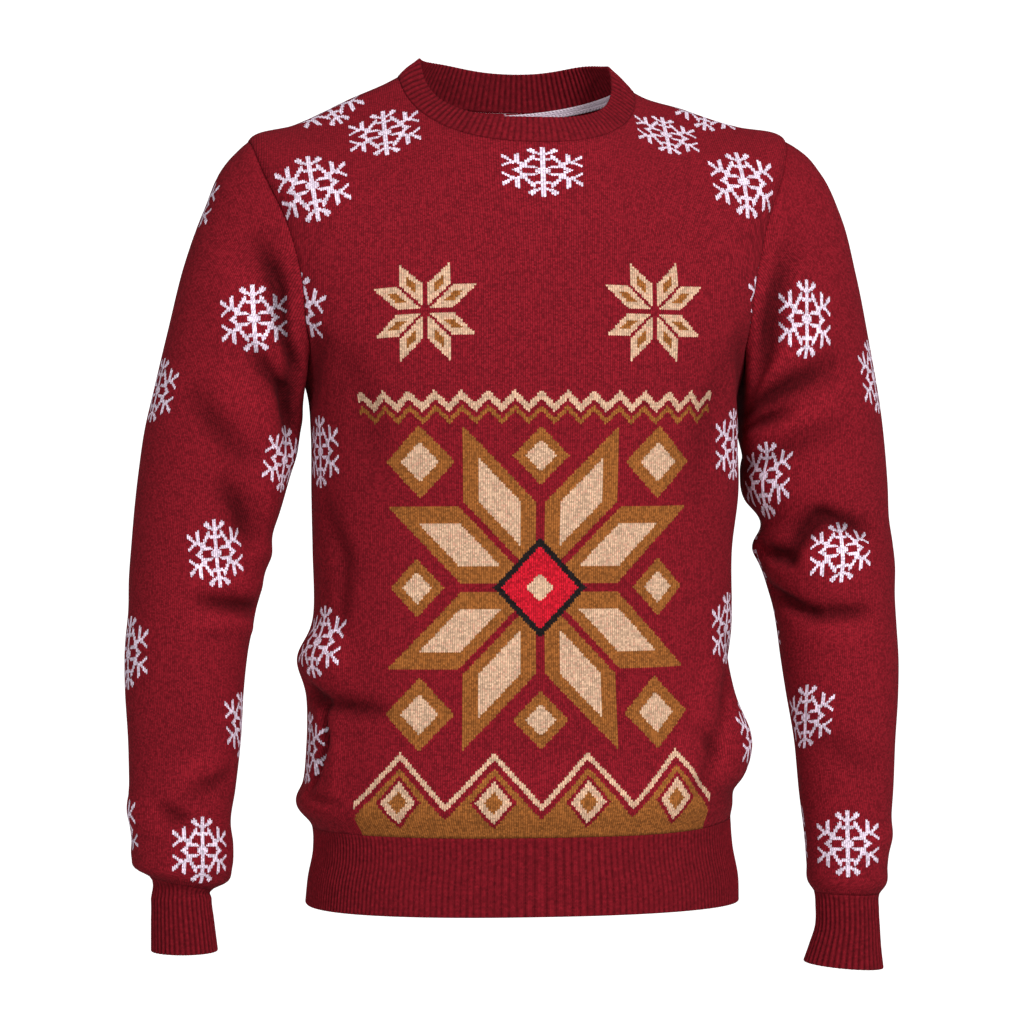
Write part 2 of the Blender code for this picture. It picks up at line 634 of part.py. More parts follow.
def neck_tape():
    """Narrow tape over the inside of the back neck seam."""
    spread = column_spread(BACK_COLUMNS)[TAPE_COLUMNS_SHORT : -TAPE_COLUMNS_SHORT]
    turn = 180.0 + 90.0 * spread
    rows = TAPE_LEVEL + TAPE_WIDTH * np.array((-0.5, 0.5))
    turns = np.repeat(turn[None, :], 2, axis=0)
    levels = rows[:, None] + TAPE_TILT * np.sin(np.radians(turns))
    surface = grid(body, turns, levels)
    inward = -grid(body_facing, turns, levels)
    outside = WALL + TAPE_CLEAR
    return wall_mesh(surface + inward * outside, surface + inward * (outside + TAPE_WALL), False)


def main():
    for item in list(bpy.data.objects):
        bpy.data.objects.remove(item, do_unlink=True)
    collection = bpy.data.collections.new("christmas_sweater")
    bpy.context.scene.collection.children.link(collection)

    add_piece(collection, "front", body_panel(True, FRONT_COLUMNS), CLOTH_RED)
    add_piece(collection, "back", body_panel(False, BACK_COLUMNS), CLOTH_RED)
    bands = (
        ("hem_band", HEM_RIBS, HEM_LEVELS, -1),
        ("neckband", COLLAR_RIBS, COLLAR_LEVELS, 0),
    )
    for name, ribs, levels, seam_row in bands:
        band = ribbed_band(
            body, body_facing, ribs, BAND_INNER_COLUMNS, levels, seam_row, panel_turns()
        )
        add_piece(collection, name, band, RIB_RED)
    add_piece(collection, "neck_tape", neck_tape(), TAPE_WHITE)

    sides = (
        (1, "left", LEFT_SLEEVE_LEVELS, LEFT_CUFF_LEVELS),
        (-1, "right", RIGHT_SLEEVE_LEVELS, RIGHT_CUFF_LEVELS),
    )
    for side, word, sleeve_levels, cuff_levels in sides:
        add_piece(collection, "sleeve_" + word, sleeve_wall(side, sleeve_levels), CLOTH_RED)
        cuff = ribbed_band(
            lambda a, b, side=side: sleeve(side, a, b),
            lambda a, b, side=side: sleeve_facing(side, a, b),
            CUFF_RIBS,
            CUFF_INNER_COLUMNS,
            cuff_levels,
            -1,
            np.linspace(0.0, 360.0, SLEEVE_COLUMNS + 1),
        )
        add_piece(collection, "cuff_" + word, cuff, RIB_RED)


main()
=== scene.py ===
"""Finish of a knitted christmas sweater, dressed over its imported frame.

Metres, +Z up.  The front faces -Y, and +X is the wearer's left.  Every piece of cloth is a closed
thin wall on the form of the solid that it stands for, and carries two maps: "knit" counts wales
and courses over the piece, and "flake" counts them from the middle of the nearest snowflake.
"""

from functools import partial
import math

import bmesh
import bpy
import numpy as np
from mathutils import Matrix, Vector


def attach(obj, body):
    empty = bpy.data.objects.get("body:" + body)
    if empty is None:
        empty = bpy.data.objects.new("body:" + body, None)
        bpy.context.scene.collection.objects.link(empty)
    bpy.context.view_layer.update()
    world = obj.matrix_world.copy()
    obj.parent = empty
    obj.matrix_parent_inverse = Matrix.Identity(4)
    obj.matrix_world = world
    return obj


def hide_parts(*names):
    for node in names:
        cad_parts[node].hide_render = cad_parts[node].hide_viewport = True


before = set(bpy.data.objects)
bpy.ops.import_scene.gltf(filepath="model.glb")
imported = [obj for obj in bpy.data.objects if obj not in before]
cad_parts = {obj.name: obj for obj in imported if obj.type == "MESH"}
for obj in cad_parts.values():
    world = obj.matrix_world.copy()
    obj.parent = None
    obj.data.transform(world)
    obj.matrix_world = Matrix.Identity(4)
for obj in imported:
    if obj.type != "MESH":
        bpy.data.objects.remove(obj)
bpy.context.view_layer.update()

MM = 0.001

# ---- sizes of the cloth
WALL = 2.0 * MM
RIB_WALL = 2.0 * MM
RIB_HEIGHT = 1.3 * MM
RIB_SHARPNESS = 0.7  # under 1 broadens the ribs and narrows their grooves
SEAM_GAP = 0.16 * MM
MITRE_LIMIT = 1.8  # most that a wall is lengthened to meet the corner of a seam
WALE = 1.9  # millimetres from one column of stitches to the next
COURSE = 1.4  # millimetres from one row of stitches to the next
SLEEVE_WALE = 1.66  # the sleeves are knitted a little tighter
SLEEVE_COURSE = 1.27

# Levels up the body, in millimetres
HEM_EDGE = -696.0
HEM_SEAM = -634.0
UNDERARM = -246.0
SHOULDER_TIP = -55.0
NECK_SEAM = 78.0
COLLAR_EDGE = 102.0

# Armhole: how many degrees round the body its seam cuts in from the side line
ARMHOLE_FRONT = 30.0
ARMHOLE_BACK = 28.0
ARMHOLE_FULLNESS = 0.7

HEM_RIBS = 216
COLLAR_RIBS = 116
CUFF_RIBS = 38
COLUMNS_A_RIB = 6
LIP_ANGLES = (25.0, 50.0, 75.0, 90.0)  # steps in which a band's wall rounds off at its edge
RIB_FADE = 5.0  # levels over which the ribs rise from the seam
RIB_DRIFT = 0.06  # ribs to either side that the lines wander
RIB_DRIFT_LEVELS = 30.0
LIP_COURSES = 0.7  # courses to a radian of the rounded edge
BAND_ROWS = {"hem": 22, "collar": 14, "cuff": 20}

SEAM_DIP = 0.5 * MM  # how far the cloth is drawn in next to a seam
SEAM_DIP_WIDTH = 3.5 * MM

TAPE_LEVEL = 74.0
TAPE_TILT = 7.0
TAPE_WIDTH = 6.0
TAPE_WALL = 1.0 * MM
TAPE_CLEAR = 0.5 * MM
TAPE_HALF_TURN = 70.0  # degrees to either side of the middle of the back
TAPE_COLUMNS = 141
TAPE_LOOP = 3.2 * MM

# Rows of a panel, from the hem seam to the neck seam: turn round the armhole, or -1 off it;
# level at the two side edges; level across the middle; fine rows up to the next one
PANEL_ROWS = (
    (-1, -634, -634, 78),
    (-1, -434, -436, 38),
    (-1, -334, -344, 34),
    (-1, -258, -276, 5),
    (0, -246, -261, 18),
    (45, -218, -216, 22),
    (90, -150, -152, 24),
    (135, -83, -88, 16),
    (180, -55, -43, 20),
    (-1, 8, 10, 27),
    (-1, 78, 78, 0),
)
ROW_BEND = 6.0  # how close to its edges a row turns to its edge level
PANEL_COLUMNS = 196
SLEEVE_COLUMNS = 132
SLEEVE_ROWS = 226
COLUMN_CROWDING = 0.9  # under 1 draws the columns of a panel towards its sides

# Body sections, from the hem edge to the collar edge, in millimetres: height of the two side
# lines, of the front and of the back; half width to each side; depth to the front and to the
# back; squareness of the section; how late the section rises from the front to the side
#  level  left_z right_z front_z back_z  left  right front  back  square rise
BODY_SECTIONS = np.array((
    (-696, -696, -696, -696, -696, 185.0, 182.5, 117.0, 108.0, 2.35, 4.0),
    (-676, -676, -676, -676, -676, 184.5, 180.5, 115.5, 106.5, 2.35, 4.0),
    (-652, -648, -651, -652, -650, 179.5, 176.0, 113.0, 104.0, 2.35, 4.0),
    (-634, -625, -632, -633, -630, 178.5, 177.5, 112.0, 103.0, 2.35, 4.0),
    (-619, -611, -617, -617, -615, 182.0, 187.5, 117.5, 107.0, 2.35, 4.0),
    (-595, -593, -595, -595, -594, 186.0, 184.5, 118.0, 108.0, 2.35, 4.0),
    (-560, -560, -560, -560, -560, 185.0, 182.0, 115.5, 106.0, 2.35, 4.0),
    (-500, -500, -500, -500, -500, 179.5, 181.0, 112.0, 103.0, 2.35, 4.0),
    (-450, -450, -450, -450, -450, 180.0, 176.0, 109.5, 101.0, 2.35, 4.0),
    (-400, -400, -400, -400, -400, 180.0, 177.0, 109.5, 101.0, 2.35, 4.0),
    (-350, -350, -350, -350, -350, 185.5, 178.0, 113.0, 103.0, 2.38, 4.0),
    (-300, -300, -300, -301, -301, 184.5, 178.5, 116.5, 105.0, 2.42, 4.0),
    (-270, -270, -270, -275, -274, 185.0, 181.0, 118.3, 106.3, 2.46, 4.0),
    (-246, -246, -247, -255, -253, 190.0, 188.0, 119.2, 107.2, 2.50, 4.1),
    (-200, -200, -201, -222, -214, 203.0, 206.0, 119.6, 108.0, 2.55, 4.5),
    (-150, -150, -151, -188, -174, 213.0, 216.0, 117.8, 106.5, 2.55, 4.8),
    (-100, -96, -100, -157, -137, 221.0, 225.0, 113.5, 102.0, 2.48, 4.9),
    (-55, -47, -55, -131, -104, 227.5, 232.0, 107.8, 95.5, 2.35, 4.7),
    (-10, -31, -36, -108, -74, 187.0, 192.0, 102.0, 87.5, 2.22, 4.0),
    (35, -16, -12, -86, -49, 143.0, 148.0, 96.8, 79.0, 2.10, 3.0),
    (78, -4, 6, -63, -20, 97.0, 105.0, 92.0, 70.0, 2.00, 2.3),
    (90, 6, 14, -52, -5, 87.0, 96.0, 89.0, 67.0, 2.00, 2.6),
    (102, 13, 19, -42, 12, 77.5, 87.0, 84.0, 63.0, 2.00, 2.9),
))  # fmt: skip
SIDE_ROUNDING = 14.0  # degrees to either side over which the neck line turns at a shoulder
ROUNDING_SAMPLES = 15
# The collar's edge is lifted where it turns into the back: turn, half width, height
COLLAR_LIFTS = ((130, 26, 5.0), (226, 26, 4.0))

# Sleeve sections, from the armhole to the cuff edge, in millimetres: mean height; the outer and
# the inner point in front view, x from the middle of the body; middle and half depth, front to back
#  level  out_x  out_z  in_x   in_z  mid_y  deep
RIGHT_SLEEVE = np.array((
    (-729.0, 313.0, -729, 259.0, -729, -34.0, 28.0),
    (-705.0, 313.0, -705, 262.0, -705, -33.0, 26.0),
    (-688.0, 313.0, -688, 264.0, -688, -32.0, 25.0),
    (-672.0, 315.0, -668, 261.5, -679, -30.0, 27.5),
    (-666.0, 326.0, -662, 250.5, -674, -29.0, 36.5),
    (-656.0, 329.5, -653, 246.0, -662, -28.0, 39.5),
    (-642.0, 329.5, -640, 245.0, -644, -26.0, 40.0),
    (-625.0, 330.0, -624, 247.0, -626, -23.0, 40.5),
    (-598.0, 331.0, -598, 243.0, -598, -19.0, 42.5),
    (-557.0, 332.0, -557, 238.0, -557, -12.0, 45.5),
    (-513.0, 334.5, -513, 235.0, -513, -5.0, 48.5),
    (-481.0, 334.5, -481, 231.0, -481, 0.0, 50.5),
    (-449.0, 331.5, -449, 224.0, -449, 4.0, 52.5),
    (-424.0, 331.0, -424, 218.5, -424, 6.0, 54.5),
    (-391.0, 328.5, -390, 212.5, -392, 7.0, 56.5),
    (-367.0, 326.5, -366, 204.5, -368, 7.0, 58.5),
    (-336.0, 323.0, -334, 196.0, -338, 6.0, 59.5),
    (-308.0, 318.0, -299, 189.5, -317, 5.0, 60.5),
    (-281.0, 310.5, -266, 186.0, -296, 4.0, 61.5),
    (-247.0, 298.5, -215, 186.0, -279, 2.0, 62.0),
    (-212.0, 284.0, -157, 186.5, -267, 0.0, 62.5),
    (-186.0, 268.5, -114, 187.0, -258, -2.0, 62.5),
    (-160.0, 247.0, -71, 188.0, -249, -3.0, 61.5),
    (-151.5, 232.0, -56, 188.0, -247, -4.0, 61.0),
))  # fmt: skip
LEFT_SLEEVE = np.array((
    (-751.0, 305.5, -754, 238.5, -748, -36.0, 31.0),
    (-737.0, 304.0, -739, 243.5, -735, -35.0, 28.5),
    (-719.0, 303.0, -720, 249.0, -718, -34.0, 26.0),
    (-705.0, 302.5, -706, 249.5, -704, -33.0, 26.0),
    (-691.0, 304.0, -692, 248.0, -690, -31.0, 27.5),
    (-684.0, 309.5, -685, 243.5, -683, -30.0, 33.0),
    (-668.0, 311.5, -669, 242.5, -667, -28.0, 35.0),
    (-646.0, 313.5, -647, 241.5, -645, -25.0, 37.0),
    (-607.0, 318.5, -608, 238.0, -606, -19.0, 40.5),
    (-562.0, 322.5, -563, 235.5, -561, -11.0, 44.0),
    (-523.0, 326.5, -524, 230.0, -522, -5.0, 47.5),
    (-490.0, 328.0, -491, 226.0, -489, 0.0, 50.5),
    (-465.0, 327.0, -465, 223.5, -465, 3.0, 52.5),
    (-440.0, 326.0, -440, 219.5, -440, 5.0, 54.0),
    (-410.0, 326.5, -410, 210.0, -410, 7.0, 56.0),
    (-393.0, 324.5, -392, 208.5, -394, 8.0, 57.0),
    (-375.0, 321.5, -373, 209.0, -377, 8.0, 58.0),
    (-350.0, 320.0, -343, 196.5, -357, 7.0, 59.5),
    (-308.0, 314.0, -283, 192.0, -333, 6.0, 61.0),
    (-266.0, 303.0, -222, 191.0, -310, 4.0, 62.0),
    (-225.0, 290.5, -161, 190.5, -289, 2.0, 62.5),
    (-190.0, 276.0, -109, 190.5, -271, 0.0, 62.5),
    (-166.0, 258.0, -74, 190.0, -258, -2.0, 61.5),
    (-153.0, 242.0, -57, 190.0, -249, -3.0, 61.0),
    (-147.0, 227.5, -48, 190.0, -246, -4.0, 61.0),
))  # fmt: skip
# The left sleeve is on side 1 and the right one on side -1
SLEEVES = {1: LEFT_SLEEVE, -1: RIGHT_SLEEVE}
CUFF_SEAMS = {1: -691.0, -1: -672.0}
ARMHOLE_BLEND = 150.0  # levels over which a sleeve leaves the shape of its armhole

# Folds: where each starts and ends, in degrees round the piece and levels, then its half width
# and its height, both in millimetres.  A height under zero is a trough.
#  turn  level  turn  level width height
BODY_FOLDS = (
    (62, -565, 116, -559, 30, 12.5),
    (56, -606, 104, -612, 13, -4.0),
    (68, -508, 46, -590, 12, -5.0),
    (42, -544, 58, -573, 10, -5.0),
    (55, -500, 34, -600, 17, 3.0),
    (66, -470, 100, -520, 15, -3.0),
    (-116, -494, -64, -488, 20, 10.0),
    (-86, -514, -70, -525, 8, -9.0),
    (-70, -525, -42, -530, 8, -7.0),
    (-112, -612, -60, -606, 13, 3.0),
    (-72, -535, -68, -556, 6, -8.5),
    (-68, -556, -76, -592, 6, -7.0),
    (-61, -545, -62, -590, 11, 2.5),
    (-78, -603, -58, -609, 5, -4.0),
    (-71, -362, -58, -409, 12, -3.5),
    (-60, -405, -62, -462, 12, -3.5),
    (-82, -268, -58, -216, 12, -4.5),
    (80, -268, 56, -214, 12, -4.0),
    (-50, -245, -44, -330, 20, -3.0),
    (52, -250, 44, -345, 20, -3.0),
    (-20, -590, 22, -596, 18, 2.0),
    (112, -300, 146, -410, 22, -5.0),
    (-112, -300, -148, -420, 22, -5.0),
    (150, -480, 215, -500, 20, -4.5),
    (145, -530, 212, -545, 22, 5.0),
    (128, -590, 170, -604, 15, -4.0),
    (232, -580, 190, -600, 15, 4.0),
    (150, -200, 178, -240, 20, -3.0),
    (208, -190, 184, -236, 20, -3.0),
)
#  0 degrees is the side next to the body, 90 the front, 180 the outside, 270 the back
RIGHT_SLEEVE_FOLDS = (
    (122, -172, 98, -172, 9, -7.0),
    (98, -172, 78, -180, 10, -8.0),
    (90, -186, 52, -200, 10, -8.5),
    (50, -190, 34, -300, 12, -6.5),
    (130, -200, 98, -216, 14, 3.0),
    (92, -228, 50, -246, 10, -7.0),
    (50, -246, 28, -284, 10, -7.0),
    (94, -264, 52, -302, 13, 4.0),
    (120, -280, 74, -321, 10, -5.5),
    (50, -330, 28, -372, 11, 4.0),
    (82, -346, 46, -392, 9, -7.5),
    (50, -398, -24, -404, 12, 4.0),
    (86, -424, 20, -430, 10, 4.0),
    (86, -441, 14, -450, 6.5, -7.5),
    (82, -458, 20, -465, 8, 4.0),
    (80, -469, 50, -472, 5, -1.5),
    (100, -584, 56, -573, 12, 2.5),
    (98, -505, 92, -596, 36, -1.6),
    (80, -596, 36, -587, 8, -4.5),
    (116, -611, 86, -620, 7, -5.5),
    (300, -240, 350, -290, 14, -5.0),
    (230, -330, 300, -300, 16, -4.0),
    (344, -380, 250, -420, 14, -5.0),
    (330, -440, 240, -400, 15, 4.0),
    (250, -560, 320, -590, 14, -4.0),
    (215, -612, 130, -618, 13, 3.0),
)
LEFT_SLEEVE_FOLDS = (
    (112, -164, 76, -170, 12, -6.5),
    (76, -164, 52, -176, 12, -6.0),
    (78, -182, 30, -200, 11, -7.5),
    (36, -194, 100, -220, 10, 4.0),
    (18, -214, 104, -254, 11, -9.0),
    (20, -240, 62, -262, 8, -7.0),
    (14, -262, 98, -284, 12, 2.5),
    (10, -302, 100, -300, 12, -4.0),
    (-24, -396, 10, -398, 12, 5.5),
    (10, -399, 42, -408, 8, -11.5),
    (42, -406, 56, -383, 9, -7.5),
    (56, -383, 76, -370, 9, -8.0),
    (76, -370, 116, -384, 8, -8.5),
    (52, -414, 102, -408, 15, 4.0),
    (4, -436, 32, -446, 7, -8.0),
    (32, -446, 56, -454, 7, -8.5),
    (56, -454, 106, -452, 7, -7.5),
    (36, -470, 104, -470, 12, 2.0),
    (40, -560, 110, -580, 13, -3.0),
    (300, -240, 350, -286, 14, -5.0),
    (225, -330, 300, -290, 16, -4.0),
    (344, -372, 250, -416, 14, -5.0),
    (330, -436, 240, -392, 15, 4.0),
    (250, -570, 320, -604, 14, -4.0),
    (200, -640, 110, -646, 12, 3.0),
)
SLEEVE_FOLDS = {1: LEFT_SLEEVE_FOLDS, -1: RIGHT_SLEEVE_FOLDS}
FOLD_TAPER = 0.45  # share of its height that a fold loses at its ends
BODY_DEGREE = 2.7  # millimetres of cloth to a degree round the body
SLEEVE_DEGREE = 0.95
FOLD_FADE = 14.0  # levels over which the folds die out next to a band
TURN_STEP = 0.5  # steps in which the slope of the cloth is measured
LEVEL_STEP = 0.5

# ---- snowflakes
# A quarter of a snowflake, stitch by stitch: the first line is its middle course, the first
# letter of a line is the wale next to its middle line, and # is a white stitch
SNOWFLAKE = (
    "###......###....",
    "###.....###.....",
    "##......##......",
    "#.#######......#",
    "#..######.....##",
    "#.....###....##.",
    "#.....####.###..",
    "#.....#######...",
    "#....##..####...",
    "#....##..##.##..",
    "###.##...##..##.",
    "######...##..###",
    "#..##....##...##",
    "#..##....##....#",
    "#..#.....##.....",
    "##.......#......",
    "####............",
    "#.###...........",
    "#..###..........",
    "#..###..........",
    "#...#...........",
    "#...............",
)
RAMP_STEPS = 32.0  # steps of the colour ramp that holds the chart, a line to a step
# Where the snowflakes lie, each as degrees round the piece and a level.  Those that are sewn in
# near an armhole or shoulder are drawn straight: with them come the degrees that they lean, and
# the millimetres to a wale and to a course
FRONT_FLAKES = (
    (-92.5, 18, 0, 1.8, 1.7), (93, 19, 0, 1.7, 1.6), (-60.5, 44, 0, 1.86, 1.27), (64, 47, 0, 1.72, 1.2),
    (1, 30), (-51.5, -45, -6, 1.85, 1.5), (53.5, -38, -3, 1.75, 1.58), (-67, -191, 0, 1.9, 1.4),
    (72, -177, 0, 1.9, 1.4), (-76, -318), (68, -312), (-73.5, -475), (69, -466), (-84, -564),
    (80.5, -558),
)  # fmt: skip
BACK_FLAKES = (
    (180, 34), (142, 30), (219, 28), (93, 19, 0, 1.7, 1.6), (267.5, 18, 0, 1.8, 1.7), (161, -58),
    (199, -60), (126, -84, 0, 1.8, 1.5), (234, -80, 0, 1.8, 1.5), (180, -150), (143, -164),
    (217, -166), (161, -250), (199, -254), (124, -262), (236, -258), (180, -342), (142, -348),
    (218, -350), (106, -372), (254, -376), (161, -440), (199, -444), (126, -452), (236, -456),
    (180, -538), (142, -546), (218, -542), (108, -560), (254, -566),
)  # fmt: skip
RIGHT_SLEEVE_FLAKES = (
    (101, -206, -3, 1.74, 1.3), (182, -184), (34, -320), (163, -280), (78, -402, -5, 1.42, 1.31),
    (160, -486), (13, -546), (69, -644, 0, 1.55, 1.27), (258, -232), (228, -330), (302, -330), (206, -420),
    (272, -432), (330, -500), (228, -540), (286, -600), (192, -635), (350, -410),
)  # fmt: skip
LEFT_SLEEVE_FLAKES = (
    (102, -204, 1, 1.47, 1.55), (204, -196), (35, -323), (153, -285), (91, -399), (31, -545),
    (77, -648, 0, 1.7, 1.3), (262, -226), (222, -316), (300, -322), (196, -416), (262, -424), (330, -470),
    (206, -540), (276, -560), (338, -640), (206, -660), (350, -396),
)  # fmt: skip

# The front's panel of roses and zigzags, in millimetres from its middle line and its hem seam
PANEL_HALF_WIDTH = 158.0
PEAK_PERIOD = 79.0
PEAK_HEIGHT = 42.0
BORDER_HEIGHT = 16.0
ROSE_HEIGHT = 205.0
ROSE_DIAMONDS = ((0.0, 108.0, 24.0), (108.0, 0.0, 24.0), (103.0, 103.0, 30.0))
CHEST_ROSE = (95.0, 432.0)

# ---- yarn colours
BURGUNDY = (0.222, 0.0085, 0.0165, 1.0)
BURGUNDY_DEEP = (0.175, 0.0068, 0.0125, 1.0)
SNOW_WHITE = (0.80, 0.66, 0.79, 1.0)
OATMEAL = (0.66, 0.42, 0.275, 1.0)
CHESTNUT = (0.295, 0.098, 0.022, 1.0)
HOLLY_RED = (0.56, 0.010, 0.024, 1.0)
COAL = (0.014, 0.011, 0.011, 1.0)
WORN_WHITE = (0.62, 0.52, 0.56, 1.0)
SHEEN_RED = (0.9, 0.35, 0.4, 1.0)
SHEEN_WHITE = (1.0, 0.95, 1.0, 1.0)
PLAIN_WHITE = (1.0, 1.0, 1.0, 1.0)
STUDIO_GREY = (0.5, 0.5, 0.5, 1.0)


# ---- form of the garment
def through(table, level):
    """Every later column of a table at the levels asked for, on smooth curves through its rows."""
    at = table[:, 0]
    values = table[:, 1:]
    step = np.diff(at)[:, None]
    rate = np.diff(values, axis=0) / step
    slope = np.empty_like(values)
    slope[0] = rate[0]
    slope[-1] = rate[-1]
    slope[1:-1] = (rate[1:] * step[:-1] + rate[:-1] * step[1:]) / (step[:-1] + step[1:])
    level = np.clip(level, at[0], at[-1])
    row = np.clip(np.searchsorted(at, level, side="right") - 1, 0, len(at) - 2)
    width = step[row]
    t = ((level - at[row]) / width[:, 0])[:, None]
    start = values[row] * (1 + 2 * t) * (1 - t) ** 2 + width * slope[row] * t * (1 - t) ** 2
    end = values[row + 1] * t**2 * (3 - 2 * t) - width * slope[row + 1] * t**2 * (1 - t)
    return (start + end).T


def ease(t):
    """From 0 to 1 with a level start and end."""
    t = np.clip(t, 0.0, 1.0)
    return t * t * (3 - 2 * t)


def unit(vectors):
    return vectors / np.linalg.norm(vectors, axis=-1, keepdims=True)


def off_turn(turn, middle):
    """Degrees from a middle, by the shorter way round."""
    return (turn - middle + 180.0) % 360.0 - 180.0


def fold_height(folds, turn, level, degree):
    """Sum of the folds, in millimetres: each is a soft trough or ridge along its own line."""
    total = np.zeros_like(level)
    for turn_a, level_a, turn_b, level_b, half_width, height in folds:
        run = (turn_b - turn_a) * degree
        climb = level_b - level_a
        u = off_turn(turn, 0.5 * (turn_a + turn_b)) * degree + 0.5 * run
        v = level - level_a
        nearest = np.clip((u * run + v * climb) / (run * run + climb * climb), 0.0, 1.0)
        away = (u - nearest * run) ** 2 + (v - nearest * climb) ** 2
        swell = 1.0 - FOLD_TAPER * (2 * nearest - 1) ** 2
        total += height * swell * np.exp(-away / half_width**2)
    return total


def facing(form, turn, level, low, high):
    """Outward unit normals of a form that is given by turns and levels."""
    round_it = form(turn + TURN_STEP, level) - form(turn - TURN_STEP, level)
    above = form(turn, np.minimum(level + LEVEL_STEP, high))
    below = form(turn, np.maximum(level - LEVEL_STEP, low))
    return unit(np.cross(round_it, above - below))


def section_height(turn, columns, neckward):
    """Height of a section, in millimetres: it rises from the front and the back to its sides."""
    left_z, right_z, front_z, back_z, *_, rise = columns
    across = np.sin(np.radians(turn))
    side_z = 0.5 * (left_z + right_z) + 0.5 * (left_z - right_z) * across
    middle_z = np.where(np.cos(np.radians(turn)) > 0, front_z, back_z)
    late = np.abs(across) ** rise
    dip = 1 - (1 - late) ** (1 / rise)
    return middle_z + (side_z - middle_z) * (late + (dip - late) * neckward)


def body_form(turn, level):
    """Plain body: 0 degrees is the front, 90 the left side, 180 the back."""
    columns = through(BODY_SECTIONS, level)
    left, right, front, back, square = columns[4:9]
    across = np.sin(np.radians(turn))
    ahead = np.cos(np.radians(turn))
    half = 0.5 * (left + right) + 0.5 * (left - right) * across
    depth = np.where(ahead > 0, front, back)
    x = half * np.sign(across) * np.abs(across) ** (2 / square)
    y = -depth * np.sign(ahead) * np.abs(ahead) ** (2 / square)
    neckward = ease((level - SHOULDER_TIP) / (NECK_SEAM - SHOULDER_TIP))
    offsets = np.linspace(-SIDE_ROUNDING, SIDE_ROUNDING, ROUNDING_SAMPLES)
    shares = 1 + np.cos(np.pi * offsets / SIDE_ROUNDING)
    shares /= shares.sum()
    z = sum(s * section_height(turn + o, columns, neckward) for o, s in zip(offsets, shares))
    upward = ease((level - NECK_SEAM) / (COLLAR_EDGE - NECK_SEAM))
    for lift_turn, half_width, height in COLLAR_LIFTS:
        off = off_turn(turn, lift_turn) / half_width
        z = z + height * upward * np.exp(-off * off)
    return np.stack((x, y, z), axis=-1) * MM


def body_folds(turn, level):
    """Height of the body's folds, which die out before the two bands."""
    fade = ease((level - HEM_SEAM) / FOLD_FADE) * ease((NECK_SEAM - level) / FOLD_FADE)
    return fold_height(BODY_FOLDS, turn, level, BODY_DEGREE) * fade


def body(turn, level):
    height = body_folds(turn, level) * MM
    normals = facing(body_form, turn, level, HEM_EDGE, COLLAR_EDGE)
    return body_form(turn, level) + height[:, None] * normals


def body_facing(turn, level):
    return facing(body, turn, level, HEM_EDGE, COLLAR_EDGE)


def armhole_line(side, turn):
    """Turn and level on the body for a turn round an armhole, which starts at the underarm."""
    at_front = turn <= 180.0
    climb = np.radians(np.where(at_front, turn, 360.0 - turn))
    middle = 0.5 * (UNDERARM + SHOULDER_TIP)
    level = middle - 0.5 * (SHOULDER_TIP - UNDERARM) * np.cos(climb)
    cut = np.maximum(np.sin(climb), 0.0) ** ARMHOLE_FULLNESS
    return side * (90.0 + np.where(at_front, -ARMHOLE_FRONT * cut, ARMHOLE_BACK * cut)), level


def armhole(side, turn):
    return body(*armhole_line(side, turn))


def sleeve_form(side, turn, level):
    """Plain sleeve: sections that lean less and less, starting as the armhole's own line."""
    table = SLEEVES[side]
    top = table[-1, 0]
    inward = np.cos(np.radians(turn))
    ahead = np.sin(np.radians(turn))

    def section(at):
        out_x, out_z, in_x, in_z, mid_y, deep = through(table, at)
        x = 0.5 * (out_x + in_x) - 0.5 * (out_x - in_x) * inward
        z = 0.5 * (out_z + in_z) - 0.5 * (out_z - in_z) * inward
        return np.stack((side * x, mid_y - deep * ahead, z), axis=-1) * MM

    keep = 1.0 - ease((top - level) / ARMHOLE_BLEND)
    change = armhole(side, turn % 360.0) - section(np.full_like(level, top))
    return section(level) + keep[:, None] * change


def sleeve_limits(side):
    return SLEEVES[side][0, 0], SLEEVES[side][-1, 0]


def sleeve_folds(side, turn, level):
    """Height of a sleeve's folds, which die out at the armhole and at the cuff."""
    top = sleeve_limits(side)[1]
    fade = ease((top - level) / FOLD_FADE) * ease((level - CUFF_SEAMS[side]) / FOLD_FADE)
    return fold_height(SLEEVE_FOLDS[side], turn, level, SLEEVE_DEGREE) * fade


def sleeve(side, turn, level):
    form = partial(sleeve_form, side)
    height = side * sleeve_folds(side, turn, level) * MM
    return form(turn, level) + height[:, None] * facing(form, turn, level, *sleeve_limits(side))


def sleeve_facing(side, turn, level):
    return side * facing(partial(sleeve, side), turn, level, *sleeve_limits(side))


def armhole_mitre(side, turn):
    """Inward corner of the armhole seam, and the way across the seam towards the sleeve."""
    body_turn, level = armhole_line(side, turn)
    top = np.full_like(level, sleeve_limits(side)[1])
    corner = body_facing(body_turn, level) + sleeve_facing(side, turn, top)
    length = np.linalg.norm(corner, axis=-1, keepdims=True)
    corner = corner / length
    inward = -corner * np.minimum(2.0 / length, MITRE_LIMIT)
    run = armhole(side, (turn + 1.0) % 360.0) - armhole(side, (turn - 1.0) % 360.0)
    across = unit(np.cross(run, corner))
    return inward, across * (side * np.sign(across[:, :1]))


def grid(function, turns, levels):
    """Evaluate a function of turn and level over rows of points."""
    made = function(turns.ravel(), levels.ravel())
    return made.reshape(*turns.shape, *made.shape[1:])


# ---- counting stitches
YOKE_LEVEL = -120.0  # the section whose wales run straight up and over the shoulders
YOKE_STRETCH = 1.35
YOKE_SAMPLES = 91
ROW_FROM = 5  # rows above the underarm from which courses are counted along the rows
